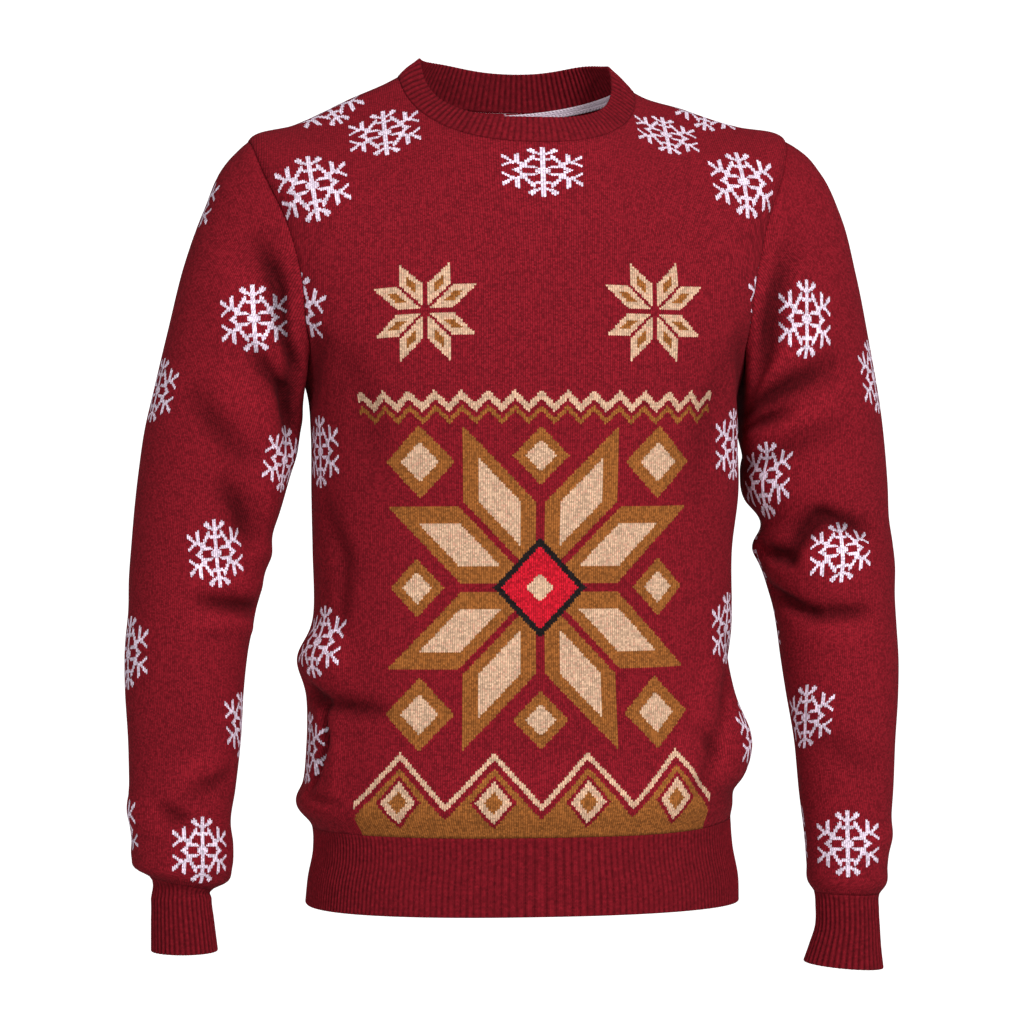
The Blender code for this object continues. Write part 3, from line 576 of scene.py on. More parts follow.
# The neck and the shoulders stretch the cloth: x, and how much wider the wales are there
YOKE_SPREAD = np.array((
    (-220, 0.96), (-105, 1.0), (-45, 1.1), (0, 1.14), (50, 1.08), (95, 0.92), (140, 0.86), (230, 0.95),
))  # fmt: skip
SPREAD_FROM = -160.0  # levels over which that stretch sets in
SPREAD_OVER = 200.0
CLOSE_COURSES = 368.0  # on the body, the courses above this one lie closer
CLOSE_COURSES_LATER = 30.0  # courses later that this starts at the sides
CLOSE_COURSES_EASE = 24.0
CLOSER = 0.5  # further courses for each one there, and yet more on the left
CLOSER_LEFT = 0.3
SIDEWAYS = 120.0  # millimetres from the middle over which these set in
LEFTWARD = 130.0
CAP_LEVEL = -305.0  # above this the stitches of a sleeve run straight on up to its cap
AXIS_SAMPLES = 120  # along a sleeve's middle line up to the cap level
CAP_SAMPLES = 30
BEYOND_CAP = 300.0
PROJECTIONS = 8  # rounds of finding the nearest place on the middle line
LEFT_CAP_WAY = 330.0  # the left sleeve is drawn long and narrow from here up to its cap
CAP_EASE = 120.0
CAP_NARROWS = 0.12
CAP_LENGTHENS = 0.14
CAP_LENGTHENS_LATER = 40.0
BLOUSE = 24.0  # levels above a cuff seam over which the sleeve hangs over the cuff
FLAKE_REACH = np.array((18.0, 24.0))  # wales and courses from its middle that a snowflake takes
OFF_FLAKE = 1000.0
FLAKE_TURN = 0.2  # cosine past which the cloth is turned away from a straight snowflake
FLAKE_BEND = 3.0  # most that a straight snowflake is drawn together on bent cloth


def dot(first, second):
    return np.einsum("...i,...i", first, second)


def lengths(steps):
    return np.linalg.norm(steps, axis=-1)


def summed(steps, axis=0):
    """Running sum of steps along an axis, from zero."""
    return np.concatenate((np.zeros_like(steps.take([0], axis)), steps.cumsum(axis)), axis)


def run_from(steps, middle):
    """Way along each row from its middle column, under zero before it."""
    run = summed(steps, 1)
    return run - run[:, middle : middle + 1]


def courses_along(points, wales, underarm):
    """Courses over a grid of points, counted along the lines of equal wale.

    They are counted up every column as far as the underarm, and above it along every row.
    """
    across, up = (np.gradient(points, axis=n) for n in (1, 0))
    wales_across, wales_up = (np.gradient(wales, axis=n)[..., None] for n in (1, 0))
    wale_line = unit(up * wales_across - across * wales_up)
    wale_line *= np.sign(dot(wale_line, up))[..., None]
    by_column = summed(dot(np.diff(points, axis=0), 0.5 * (wale_line[1:] + wale_line[:-1])))
    gained = dot(np.diff(points, axis=1), 0.5 * (wale_line[:, 1:] + wale_line[:, :-1]))
    middle = points.shape[1] // 2
    by_row = run_from(gained, middle) + by_column[:, middle : middle + 1]
    courses = by_column.copy()
    courses[underarm:] = by_row[underarm:] + by_column[underarm] - by_row[underarm]
    return courses / (COURSE * MM)


def straight_wales(x, at_front):
    """Wales from the middle of a yoke, where they run straight up and over the shoulder."""
    turn = np.linspace(0.0 if at_front else 180.0, 90.0, YOKE_SAMPLES)
    points = body_form(turn, np.full_like(turn, YOKE_LEVEL))
    across = np.diff(points[:, 0])
    run = np.minimum(lengths(np.diff(points[:, :2], axis=0)), YOKE_STRETCH * across)
    known_x = np.append(summed(across), 1.0)
    known_run = summed(run)
    known_run = np.append(known_run, known_run[-1] + 1.0 - known_x[-2])
    return np.sign(x) * np.interp(np.abs(x), known_x, known_run) / (WALE * MM)


def panel_stitches(turns, levels, points, on_armhole, at_front):
    """Wales from the middle line and courses from the hem seam, over a panel of the body."""
    middle = turns.shape[1] // 2
    run = run_from(lengths(np.diff(points[..., :2], axis=1)), middle)
    underarm = int(np.argmax(on_armhole >= 0))
    widest = np.minimum(np.arange(len(run)), underarm)
    wales = run / (WALE * MM)
    for half, edge in ((slice(0, middle), 0), (slice(middle, None), -1)):
        wales[:, half] *= (run[underarm, edge] / run[widest, edge])[:, None]
    yokeward = ease((levels - UNDERARM) / (SHOULDER_TIP - UNDERARM))
    x = points[..., 0] / MM
    spread = through(YOKE_SPREAD, x.ravel())[0].reshape(x.shape)
    widened = 1.0 + (spread - 1.0) * ease((levels - SPREAD_FROM) / SPREAD_OVER)
    wales += (straight_wales(points[..., 0], at_front) / widened - wales) * yokeward
    courses = courses_along(points, wales, underarm + ROW_FROM)
    later = CLOSE_COURSES_LATER * ease(np.abs(x) / SIDEWAYS)
    above = np.maximum(courses - CLOSE_COURSES - later, 0.0)
    start = np.minimum(above, CLOSE_COURSES_EASE)
    eased = above - start + 0.5 * start**2 / CLOSE_COURSES_EASE
    courses += (CLOSER + CLOSER_LEFT * ease(x / LEFTWARD)) * eased
    return np.stack((wales, courses), axis=-1)


def sleeve_axis(side):
    """Points along the middle of a sleeve, from its cuff seam to past the shoulder.

    With them come half the width and half the depth there, and the way from the cuff seam. The
    line is straight from the cap level on.
    """
    table = SLEEVES[side]
    to_cap = np.linspace(CUFF_SEAMS[side], CAP_LEVEL, AXIS_SAMPLES)
    level = np.append(to_cap, np.linspace(CAP_LEVEL, table[-1, 0], CAP_SAMPLES)[1:])
    out_x, out_z, in_x, in_z, mid_y, deep = through(table, level)
    points = np.stack((0.5 * side * (out_x + in_x), mid_y, 0.5 * (out_z + in_z)), axis=-1)
    cap, below = points[AXIS_SAMPLES - 1], points[AXIS_SAMPLES - CAP_SAMPLES]
    onward = unit(cap - below)
    beyond = (points[AXIS_SAMPLES:] - cap) @ onward
    points[AXIS_SAMPLES:] = cap + beyond[:, None] * onward
    tangent = unit(np.gradient(points, axis=0))
    half = 0.5 * np.abs((out_x - in_x) * tangent[:, 2] - (out_z - in_z) * side * tangent[:, 0])
    points = np.concatenate((points, points[-1:] + onward * BEYOND_CAP))
    way = summed(lengths(np.diff(points, axis=0)))
    return points, np.append(half, half[-1]), np.append(deep, deep[-1]), way


def sleeve_stitches(side, turns, levels, points):
    """Wales from the outer line and courses from the cuff, over a sleeve's points."""
    centres, half, deep, way = sleeve_axis(side)
    tangents = unit(np.gradient(centres, axis=0))
    tangents[-1] = tangents[-2]
    flat = points.reshape(-1, 3)
    along = np.clip(np.interp(flat[:, 2], centres[:, 2], way), 0.0, way[-1])
    for _ in range(PROJECTIONS):
        centre = np.stack([np.interp(along, way, c) for c in centres.T], axis=-1)
        tangent = unit(np.stack([np.interp(along, way, t) for t in tangents.T], axis=-1))
        along = along + dot(flat - centre, tangent)
    away = flat - centre
    outward = unit(np.cross(tangent, (0.0, 1.0, 0.0)) * -side)
    reach = np.interp(along, way, half)
    depth = np.interp(along, way, deep)
    round_it = np.arctan2(-away[:, 1] / depth, dot(away, outward) / reach).reshape(turns.shape)
    round_it[:, 0] = np.abs(round_it[:, 0])
    round_it[:, -1] = -np.abs(round_it[:, -1])
    wales = ellipse_arc(round_it, reach.reshape(turns.shape), depth.reshape(turns.shape))
    along = along.reshape(turns.shape)
    first = int(np.argmax(levels[:, 0] > levels[0, 0] + BLOUSE))
    climbed = climb_of(points)
    along[:first] = along[first] - climbed[first] + climbed[:first]
    courses = along / SLEEVE_COURSE
    if side > 0:
        wales *= 1.0 + CAP_NARROWS * ease((along - LEFT_CAP_WAY) / CAP_EASE)
        above = np.maximum(along - LEFT_CAP_WAY - CAP_LENGTHENS_LATER, 0.0)
        courses -= CAP_LENGTHENS * above / SLEEVE_COURSE
    return np.stack((-wales / SLEEVE_WALE, courses), axis=-1)


def ellipse_arc(angle, across, deep):
    """Way round an ellipse from its outer end, for angles of either sign."""
    size = np.abs(angle)
    at = size[None] * np.linspace(0.0, 1.0, 25)[:, None, None]
    rate = np.sqrt((across * np.sin(at)) ** 2 + (deep * np.cos(at)) ** 2)
    return np.sign(angle) * (0.5 * (rate[1:] + rate[:-1])).mean(axis=0) * size


def climb_of(points):
    """Way up each column of a grid of points, from its first row."""
    return summed(lengths(np.diff(points, axis=0)))


def knitted_place(turn, level, turns, levels, stitches, degree):
    """Wales and courses of every point from the middle of a snowflake, along the stitches."""
    off = np.abs(off_turn(turns, turn)) * degree + np.abs(levels - level)
    return stitches - np.round(stitches.reshape(-1, 2)[np.argmin(off)])


def straight_place(middle, outward, lean, gauge, points):
    """The same for a snowflake that keeps its shape, in wales and courses of a given size."""
    up = unit(np.cross(outward, (1.0, 0.0, 0.0)))
    across = np.cross(up, outward)
    swing = math.radians(lean)
    up, across = (up * math.cos(swing) + across * math.sin(swing),
                  across * math.cos(swing) - up * math.sin(swing))
    away = points - middle
    flat = np.stack((away @ across, away @ up), axis=-1)
    bent = lengths(away) / np.maximum(lengths(flat), 1e-6)
    return flat * np.minimum(bent, FLAKE_BEND)[..., None] / (np.array(gauge) * MM)


def flake_map(flakes, form, form_facing, turns, levels, points, outward, stitches, degree):
    """Places on the nearest snowflake of the four corners of every face of a grid."""
    places = []
    for turn, level, *straight in flakes:
        if straight:
            spot = (np.array((float(turn),)), np.array((float(level),)))
            facing_out = form_facing(*spot)[0]
            place = straight_place(form(*spot)[0], facing_out, straight[0], straight[1:], points)
            turned_away = (outward @ facing_out < FLAKE_TURN)[..., None]
            places.append(np.where(turned_away, OFF_FLAKE, place))
        else:
            places.append(knitted_place(turn, level, turns, levels, stitches, degree))
    faces = quads(np.arange(turns.size).reshape(turns.shape))
    corners = np.stack(places).reshape(len(places), -1, 2)[:, faces]
    furthest = np.abs(corners.mean(axis=2) / FLAKE_REACH).max(axis=-1)
    nearest = furthest.argmin(axis=0)
    chosen = corners[nearest, np.arange(corners.shape[1])]
    return np.where(furthest.min(axis=0)[:, None, None] < 1.0, chosen, OFF_FLAKE)


# ---- making a piece of cloth
def quads(numbers):
    """Four-cornered faces of a grid, as rows of corner numbers."""
    corners = (numbers[:-1, :-1], numbers[:-1, 1:], numbers[1:, 1:], numbers[1:, :-1])
    return np.stack(corners, axis=-1).reshape(-1, 4)


def zip_edges(first, second):
    """Triangles between two edges that run the same way with unlike numbers of points."""
    faces = []
    i = j = 0
    last_i, last_j = len(first) - 1, len(second) - 1
    while i < last_i or j < last_j:
        if i < last_i and (i + 1) / last_i <= (j + 1) / last_j + 1e-9:
            faces.append((first[i], second[j], first[i + 1]))
            i += 1
        else:
            faces.append((first[i], second[j], second[j + 1]))
            j += 1
    return faces


def rim_faces(outer, inner, tube):
    """Faces along the edges of a wall, between the points of its outer and its inner grid."""
    edges = [(outer[0], inner[0], 1), (outer[-1], inner[-1], -1)]
    if not tube:
        edges += [(outer[:, 0], inner[:, 0], -1), (outer[:, -1], inner[:, -1], 1)]
    return [
        face[::order] for first, second, order in edges
        for face in zip_edges(first.tolist(), second.tolist())
    ]  # fmt: skip


def tidy_wall(mesh):
    """Join the points that meet, turn the faces outward and shade them smoothly."""
    work = bmesh.new()
    work.from_mesh(mesh)
    bmesh.ops.remove_doubles(work, verts=work.verts, dist=1e-6)
    if work.calc_volume(signed=True) < 0:
        bmesh.ops.reverse_faces(work, faces=work.faces)
    work.to_mesh(mesh)
    work.free()
    mesh.shade_smooth()


def cloth(name, outer, inner, outer_map, inner_map, materials, tube=False, flakes=None, marks=()):
    """A closed wall of cloth with its stitch maps.  A tube's first and last columns meet."""
    points = np.concatenate((outer.reshape(-1, 3), inner.reshape(-1, 3)))
    stitches = np.concatenate((outer_map.reshape(-1, 2), inner_map.reshape(-1, 2)))
    numbers = np.arange(len(points))
    count = outer.shape[0] * outer.shape[1]
    outer_numbers = numbers[:count].reshape(outer.shape[:2])
    inner_numbers = numbers[count:].reshape(inner.shape[:2])
    faces = quads(outer_numbers).tolist() + rim_faces(outer_numbers, inner_numbers, tube)
    first_inside = len(faces)
    faces += quads(inner_numbers)[:, ::-1].tolist()
    mesh = bpy.data.meshes.new(name)
    mesh.from_pydata(points.tolist(), [], faces)

    corner_points = np.zeros(len(mesh.loops), np.int32)
    mesh.loops.foreach_get("vertex_index", corner_points)
    counts = stitches[corner_points]
    from_flakes = np.full(counts.shape, OFF_FLAKE)
    if flakes is not None:
        from_flakes[: flakes.size // 2] = flakes.reshape(-1, 2)
    for label, values in (("knit", counts), ("flake", from_flakes)):
        layer = mesh.uv_layers.new(name=label)
        layer.data.foreach_set("uv", values.astype(np.float32).ravel())
    for mark, values in marks:
        layer = mesh.attributes.new(mark, "FLOAT", "POINT")
        layer.data.foreach_set("value", values.astype(np.float32))

    for material in materials:
        mesh.materials.append(material)
    slots = np.zeros(len(mesh.polygons), np.int32)
    slots[first_inside:] = len(materials) - 1
    mesh.polygons.foreach_set("material_index", slots)
    tidy_wall(mesh)
    return placed(name, mesh)


def placed(name, data):
    piece = bpy.data.objects.new(name, data)
    bpy.context.scene.collection.objects.link(piece)
    return piece


def in_both(outer, inner):
    """Values of a mark over both grids of a wall."""
    return np.concatenate((outer.ravel(), inner.ravel()))


def close_tube(*walls):
    for wall in walls:
        wall[:, -1] = wall[:, 0]


# ---- panels and sleeves
def panel_grid(at_front):
    """Turns, levels and armhole turns over the fine rows and columns of a body panel."""
    table = np.array(PANEL_ROWS, dtype=float)
    rows = []
    for row, following in zip(table[:-1], table[1:]):
        share = np.arange(row[3]) / row[3]
        fine = row[:3] + (following[:3] - row[:3]) * share[:, None]
        if min(row[0], following[0]) < 0:
            fine[:, 0] = np.where(share == 0, row[0], -1.0)
        rows.append(fine)
    on_armhole, edges, middles = np.concatenate((*rows, table[-1:, :3])).T
    cut_rows = on_armhole >= 0
    edges[cut_rows] = armhole_line(1, on_armhole[cut_rows])[1]

    even = np.linspace(-1.0, 1.0, PANEL_COLUMNS + 1)
    spread = np.sign(even) * np.abs(even) ** COLUMN_CROWDING
    cut = np.zeros(len(edges))
    climb_sine = np.maximum(np.sin(np.radians(on_armhole[cut_rows])), 0.0)
    cut[cut_rows] = (ARMHOLE_FRONT if at_front else ARMHOLE_BACK) * climb_sine**ARMHOLE_FULLNESS
    turns = spread * (90.0 - cut[:, None])
    if not at_front:
        turns = 180.0 - turns
    levels = middles[:, None] + (edges - middles)[:, None] * np.abs(spread) ** ROW_BEND
    return turns, levels, on_armhole


def sewn_piece(name, outer, outward, inward, clear, stitches, flaked, folds, materials, tube):
    """A wall that is drawn in next to its seams, with half as many rows and columns inside."""
    run = run_from(lengths(np.diff(outer, axis=1)), 0)
    climbed = climb_of(outer)
    ways = (climbed[-1] - climbed, run, run[:, -1:] - run)
    dips = -SEAM_DIP * sum(np.exp(-((way / SEAM_DIP_WIDTH) ** 2)) for way in ways)
    outside = outer + clear + outward * dips[..., None]
    inside = outer + clear + inward * WALL
    if tube:
        close_tube(outside, inside)
    # The fold heights are kept as a mark, from which the yarn paints shade in troughs and light on ridges
    marks = (("fold", in_both(folds, folds[::2, ::2])),)
    inside = inside[::2, ::2]
    return cloth(name, outside, inside, stitches, stitches[::2, ::2], materials, tube, flaked, marks)


def body_panel(name, at_front, flakes, materials):
    """Front or back, from the hem seam to the neck seam."""
    turns, levels, on_armhole = panel_grid(at_front)
    outer, outward, plain, folds = (
        grid(form, turns, levels) for form in (body, body_facing, body_form, body_folds)
    )
    inward = -outward
    clear = np.zeros_like(outer)
    half_gap = 0.5 * SEAM_GAP
    clear[0] += half_gap * unit(outer[1] - outer[0])
    clear[-1] -= half_gap * unit(outer[-1] - outer[-2])
    cut_rows = on_armhole >= 0
    climbs = on_armhole[cut_rows]
    round_armhole = climbs if at_front else (360.0 - climbs) % 360.0
    for side, column in ((-1, 0), (1, -1)):
        clear[~cut_rows, column, 1] += -half_gap if at_front else half_gap
        inward[cut_rows, column], across = armhole_mitre(side, round_armhole)
        clear[cut_rows, column] -= half_gap * across
    stitches = panel_stitches(turns, levels, plain, on_armhole, at_front)
    flaked = flake_map(
        flakes, body_form, body_facing, turns, levels, plain, outward, stitches, BODY_DEGREE
    )
    return sewn_piece(
        name, outer, outward, inward, clear, stitches, flaked, folds, materials, False
    )


def sleeve_piece(name, side, flakes, materials):
    """Sleeve, from the cuff seam to the armhole seam."""
    turn = np.linspace(0.0, 360.0, SLEEVE_COLUMNS + 1)
    level = np.linspace(CUFF_SEAMS[side], sleeve_limits(side)[1], SLEEVE_ROWS + 1)
    turns, levels = np.meshgrid(turn, level)
    form, form_facing = partial(sleeve_form, side), partial(sleeve_facing, side)
    outer, outward, plain, folds = (
        grid(made, turns, levels)
        for made in (partial(sleeve, side), form_facing, form, partial(sleeve_folds, side))
    )
    inward = -outward
    clear = np.zeros_like(outer)
    clear[0] += 0.5 * SEAM_GAP * unit(outer[1] - outer[0])
    inward[-1], across = armhole_mitre(side, turn % 360.0)
    clear[-1] += 0.5 * SEAM_GAP * across
    stitches = sleeve_stitches(side, turns, levels, plain / MM)
    flaked = flake_map(
        flakes, form, form_facing, turns, levels, plain, outward, stitches, SLEEVE_DEGREE
    )
    return sewn_piece(
        name, outer, outward, inward, clear, stitches, flaked, folds, materials, True
    )


# ---- ribbed bands
def ribbed_band(name, form, form_facing, ribs, seam, edge, rows, slack, material):
    """Collar, cuff or hem band: a tube with ribs raised on both faces and a rounded open edge.

    Slack gives the share of the ribs' height that is left at each turn, where the band is stretched.
    """
    level = np.append(np.linspace(seam, edge, rows), np.full(len(LIP_ANGLES), edge))
    lip = np.append(np.zeros(rows), np.radians(LIP_ANGLES))[:, None]
    turns, levels = np.meshgrid(np.linspace(0.0, 360.0, COLUMNS_A_RIB * ribs + 1), level)
    surface = grid(form, turns, levels)
    outward = grid(form_facing, turns, levels)
    surface[0] += 0.5 * SEAM_GAP * unit(surface[1] - surface[0])
    half_wall = 0.5 * RIB_WALL
    onward = unit(surface[rows - 1] - surface[rows - 2])
    middle = surface - outward * half_wall + (np.sin(lip) * half_wall)[..., None] * onward
    swing = (np.cos(lip) * half_wall)[..., None] * outward
    outside = middle + swing
    inside = middle - swing
    close_tube(outside, inside)

    drift = np.sin(np.radians(3 * turns)) + np.sin(np.radians(5 * turns) + levels / RIB_DRIFT_LEVELS)
    phase = turns * (ribs / 360.0) + RIB_DRIFT * drift
    swell = ease(np.abs(levels - seam) / RIB_FADE) * np.cos(lip) * slack(turns)
    climbed = np.abs(levels - seam) / COURSE + lip * LIP_COURSES
    marks = (("rib_phase", in_both(phase, phase + 0.5)), ("rib_swell", in_both(swell, swell)))
    outer_map = np.stack((2.0 * phase + 0.5, climbed), axis=-1)
    inner_map = outer_map + (1.0, 0.0)
    band = cloth(name, outside, inside, outer_map, inner_map, (material,), True, marks=marks)
    return applied(band, rib_tree(), {"Height": RIB_HEIGHT, "Sharpness": RIB_SHARPNESS, "Yarn": material})


def hem_slack(turns):
    """The hem's ribs stand out at the sides and lie nearly flat where the band is stretched."""
    return 0.22 + 0.78 * ease((np.abs(np.sin(np.radians(turns))) - 0.55) / 0.4)


def collar_slack(turns):
    """The collar's ribs are flattest in the middle of the front."""
    return 0.35 + 0.65 * ease(np.abs(off_turn(turns, 0.0)) / 75.0)


def cuff(name, side, material):
    """A cuff's ribs stand at their full height all round."""
    form, form_facing = partial(sleeve, side), partial(sleeve_facing, side)
    seam, edge, rows = CUFF_SEAMS[side], sleeve_limits(side)[0], BAND_ROWS["cuff"]
    return ribbed_band(name, form, form_facing, CUFF_RIBS, seam, edge, rows, np.ones_like, material)


# ---- trees of nodes
def wire(tree, value, slot):
    """Link a field or a socket to an input, or set the input to a plain value."""
    if isinstance(value, Field):
        value = value.socket
    if isinstance(value, bpy.types.NodeSocket):
        tree.links.new(value, slot)
    else:
        slot.default_value = value


def named_input(node, label):
    """The first input of that name that its node uses with its present settings."""
    found = [s for s in node.inputs if s.name.lower() == label.lower()]
    return next((s for s in found if s.enabled), found[0])


def add_node(tree, kind, settings=None, **values):
    """A node with its settings, and its inputs set or linked by name."""
    node = tree.nodes.new(kind)
    for key, value in (settings or {}).items():
        setattr(node, key, value)
    for label, value in values.items():
        wire(tree, value, named_input(node, label.replace("_", " ")))
    return node


def first_of(tree, kind, settings=None, **values):
    """The first output of such a node."""
    return add_node(tree, kind, settings, **values).outputs[0]


def new_group(name, kind, inputs, outputs):
    """An empty group of nodes with named inputs and outputs, and its two ends."""
    tree = bpy.data.node_groups.new(name, kind)
    for in_out, sockets in (("INPUT", inputs), ("OUTPUT", outputs)):
        for label, socket_kind, *default in sockets:
            kind_name = "NodeSocket" + socket_kind
            socket = tree.interface.new_socket(label, in_out=in_out, socket_type=kind_name)
            if default:
                socket.default_value = default[0]
    return tree, tree.nodes.new("NodeGroupInput"), tree.nodes.new("NodeGroupOutput")


def worked(tree, operation, *values):
    """The result of one Math node."""
    node = tree.nodes.new("ShaderNodeMath")
    node.operation = operation
    for slot, value in zip(node.inputs, values):
        wire(tree, value, slot)
    return Field(tree, node.outputs[0])


def maths(operation):
    return lambda field, *others: worked(field.tree, operation, field, *others)


class Field:
    """A number that changes over a surface, written as plain sums and kept as Math nodes."""

    def __init__(self, tree, socket):
        self.tree = tree
        self.socket = socket

    def __rsub__(self, other):
        return (self * -1.0) + other

    def __invert__(self):
        return 1.0 - self

    __add__ = __radd__ = maths("ADD")
    __sub__ = maths("SUBTRACT")
    __mul__ = __rmul__ = __and__ = maths("MULTIPLY")
    __truediv__ = maths("DIVIDE")
    __pow__ = maths("POWER")
    __lt__ = maths("LESS_THAN")
    __gt__ = maths("GREATER_THAN")
    __or__ = larger = maths("MAXIMUM")
    smaller = maths("MINIMUM")
    __abs__ = maths("ABSOLUTE")
    floor = maths("FLOOR")
    fract = maths("FRACT")
    cosine = maths("COSINE")
    sine = maths("SINE")
    remainder = maths("FLOORED_MODULO")


# ---- trees that make geometry
def geometry_tree(name, sockets, make):
    """A Geometry Nodes tree with named inputs, which ends with plain geometry in one yarn."""
    if name in bpy.data.node_groups:
        return bpy.data.node_groups[name]
    piece = ("Geometry", "Geometry")
    inputs = (piece, *sockets, ("Yarn", "Material"))
    tree, start, ends = new_group(name, "GeometryNodeTree", inputs, (piece,))
    sizes = [Field(tree, start.outputs[label]) for label, *_ in sockets]
    made = make(tree, start.outputs[0], *sizes)
    real = first_of(tree, "GeometryNodeRealizeInstances", Geometry=made)
    painted = first_of(
        tree, "GeometryNodeSetMaterial", Geometry=real, Material=start.outputs["Yarn"]
    )
    tree.links.new(painted, ends.inputs[0])
    return tree


def read_mark(tree, name, kind="FLOAT"):
    return first_of(tree, "GeometryNodeInputNamedAttribute", {"data_type": kind}, Name=name)


def raise_ribs(tree, piece, height, sharpness):
    """Raises ribs on a band, from each point's place across a rib."""
    phase = Field(tree, read_mark(tree, "rib_phase"))
    swell = Field(tree, read_mark(tree, "rib_swell"))
    wave = (phase * (2 * math.pi)).cosine() * 0.5 + 0.5
    lift = (wave**sharpness - 0.5) * swell * height
    normal = first_of(tree, "GeometryNodeInputNormal")
    move = first_of(
        tree, "ShaderNodeVectorMath", {"operation": "SCALE"}, Vector=normal, Scale=lift
    )
    return first_of(tree, "GeometryNodeSetPosition", Geometry=piece, Offset=move)


def rib_tree():
    sockets = (("Height", "Float", RIB_HEIGHT), ("Sharpness", "Float", RIB_SHARPNESS))
    return geometry_tree("raise_ribs", sockets, raise_ribs)


LEG_LENGTH = 0.72  # of a loop, for half a leg
LEG_SPREAD = 0.25  # of a loop's width, from its middle to a leg
LEG_SPLAY = 0.42  # radians that a leg leans outward


def lay_chain(tree, piece, length, width, radius):
    """Lays a chain of knitted loops along a line, facing the way that its points give."""
    line = first_of(tree, "GeometryNodeMeshToCurve", Mesh=piece)
    dots = first_of(
        tree, "GeometryNodeResampleCurve", {"mode": "LENGTH"}, Curve=line, Length=length
    )
    tangent = first_of(tree, "GeometryNodeInputTangent")
    outward = read_mark(tree, "outward", "FLOAT_VECTOR")
    align = "FunctionNodeAlignRotationToVector"
    along = first_of(tree, align, {"axis": "X"}, Vector=tangent)
    turned = first_of(
        tree, align, {"axis": "Z", "pivot_axis": "X"}, Rotation=along, Vector=outward
    )
    ball = first_of(tree, "GeometryNodeMeshUVSphere", Segments=6, Rings=4, Radius=1.0)
    size = first_of(
        tree, "ShaderNodeCombineXYZ", X=length * LEG_LENGTH, Y=radius, Z=radius
    )
    leg = first_of(tree, "GeometryNodeTransform", Geometry=ball, Scale=size)
    legs = tree.nodes.new("GeometryNodeJoinGeometry")
    for side in (-1.0, 1.0):
        spot = first_of(tree, "ShaderNodeCombineXYZ", Y=width * (LEG_SPREAD * side))
        splayed = first_of(
            tree, "GeometryNodeTransform", Geometry=leg, Translation=spot,
            Rotation=(0.0, 0.0, LEG_SPLAY * side),
        )  # fmt: skip
        tree.links.new(splayed, legs.inputs[0])
    return first_of(
        tree, "GeometryNodeInstanceOnPoints", Points=dots, Instance=legs.outputs[0], Rotation=turned
    )


def chain_tree():
    sizes = (("Loop Length", 0.003), ("Loop Width", 0.003), ("Yarn Radius", 0.0007))
    sockets = [(label, "Float", size) for label, size in sizes]
    return geometry_tree("chain_of_loops", sockets, lay_chain)


def applied(piece, tree, settings):
    """The piece with what the tree makes of it, as one plain mesh under the same name."""
    modifier = piece.modifiers.new(tree.name, "NODES")
    modifier.node_group = tree
    for item in tree.interface.items_tree:
        if item.item_type == "SOCKET" and item.in_out == "INPUT" and item.name in settings:
            modifier[item.identifier] = settings[item.name]
    piece.update_tag()
    graph = bpy.context.evaluated_depsgraph_get()
    made = bpy.data.meshes.new_from_object(
        piece.evaluated_get(graph), preserve_all_data_layers=True, depsgraph=graph
    )
    piece.modifiers.clear()
    old = piece.data
    name = old.name
    piece.data = made
    bpy.data.meshes.remove(old)
    made.name = name
    made.shade_smooth()
    return piece


# ---- neck tape
def neck_tape(name, material):
    """Tape over the inside of the back neck seam: a thin strip under two rows of chain."""
    turn = np.linspace(180.0 - TAPE_HALF_TURN, 180.0 + TAPE_HALF_TURN, TAPE_COLUMNS)
    turns, levels = np.meshgrid(turn, TAPE_LEVEL + TAPE_WIDTH * np.linspace(-0.5, 0.5, 5))
    levels = levels + TAPE_TILT * np.sin(np.radians(turns))
    inward = -grid(body_facing, turns, levels)
    low = grid(body, turns, levels) + inward * (WALL + TAPE_CLEAR)
    high = low + inward * TAPE_WALL
    counts = np.stack((turns * 1.2, levels / 2.0), axis=-1)
    tape = cloth(name, high, low, counts, counts, (material,))
    chains = [chain_along(name + "_chain", high[row], inward[row], material) for row in (1, 3)]
    return joined(tape, chains)


def chain_along(name, points, facing_out, material):
    """A chain of loops along a row of points."""
    mesh = bpy.data.meshes.new(name)
    links = [(n, n + 1) for n in range(len(points) - 1)]
    mesh.from_pydata(points.tolist(), links, [])
    layer = mesh.attributes.new("outward", "FLOAT_VECTOR", "POINT")
    layer.data.foreach_set("vector", facing_out.astype(np.float32).ravel())
    sizes = {
        "Loop Length": TAPE_LOOP,
        "Loop Width": 0.95 * TAPE_LOOP,
        "Yarn Radius": 0.24 * TAPE_LOOP,
        "Yarn": material,
    }
    return applied(placed(name, mesh), chain_tree(), sizes)


def joined(piece, others):
    """One piece from several, with no material slot used twice."""
    work = bmesh.new()
    work.from_mesh(piece.data)
    for other in others:
        mesh = other.data
        work.from_mesh(mesh)
        bpy.data.objects.remove(other)
        bpy.data.meshes.remove(mesh)
    work.to_mesh(piece.data)
    work.free()
    piece.data.shade_smooth()
    return piece


# ---- effects that the yarns share
def across_and_up(tree, stitches):
    parts = add_node(tree, "ShaderNodeSeparateXYZ", Vector=stitches).outputs
    return Field(tree, parts[0]), Field(tree, parts[1])


def chance_of(tree, column, row):
    """A chance number for each stitch."""
    spot = first_of(tree, "ShaderNodeCombineXYZ", X=column, Y=row)
    noise = add_node(
        tree, "ShaderNodeTexWhiteNoise", {"noise_dimensions": "2D"}, Vector=spot
    )
    return Field(tree, noise.outputs["Value"])


def stitch_place(tree, stitches, slant):
    """Which stitch a point is on: knitted stitches are V shaped, so their rows rise to each side."""
    across, up = across_and_up(tree, stitches)
    slanted = up - abs(across.fract() * 2.0 - 1.0) * slant
    return across.floor(), slanted.floor(), across.fract(), slanted.fract()


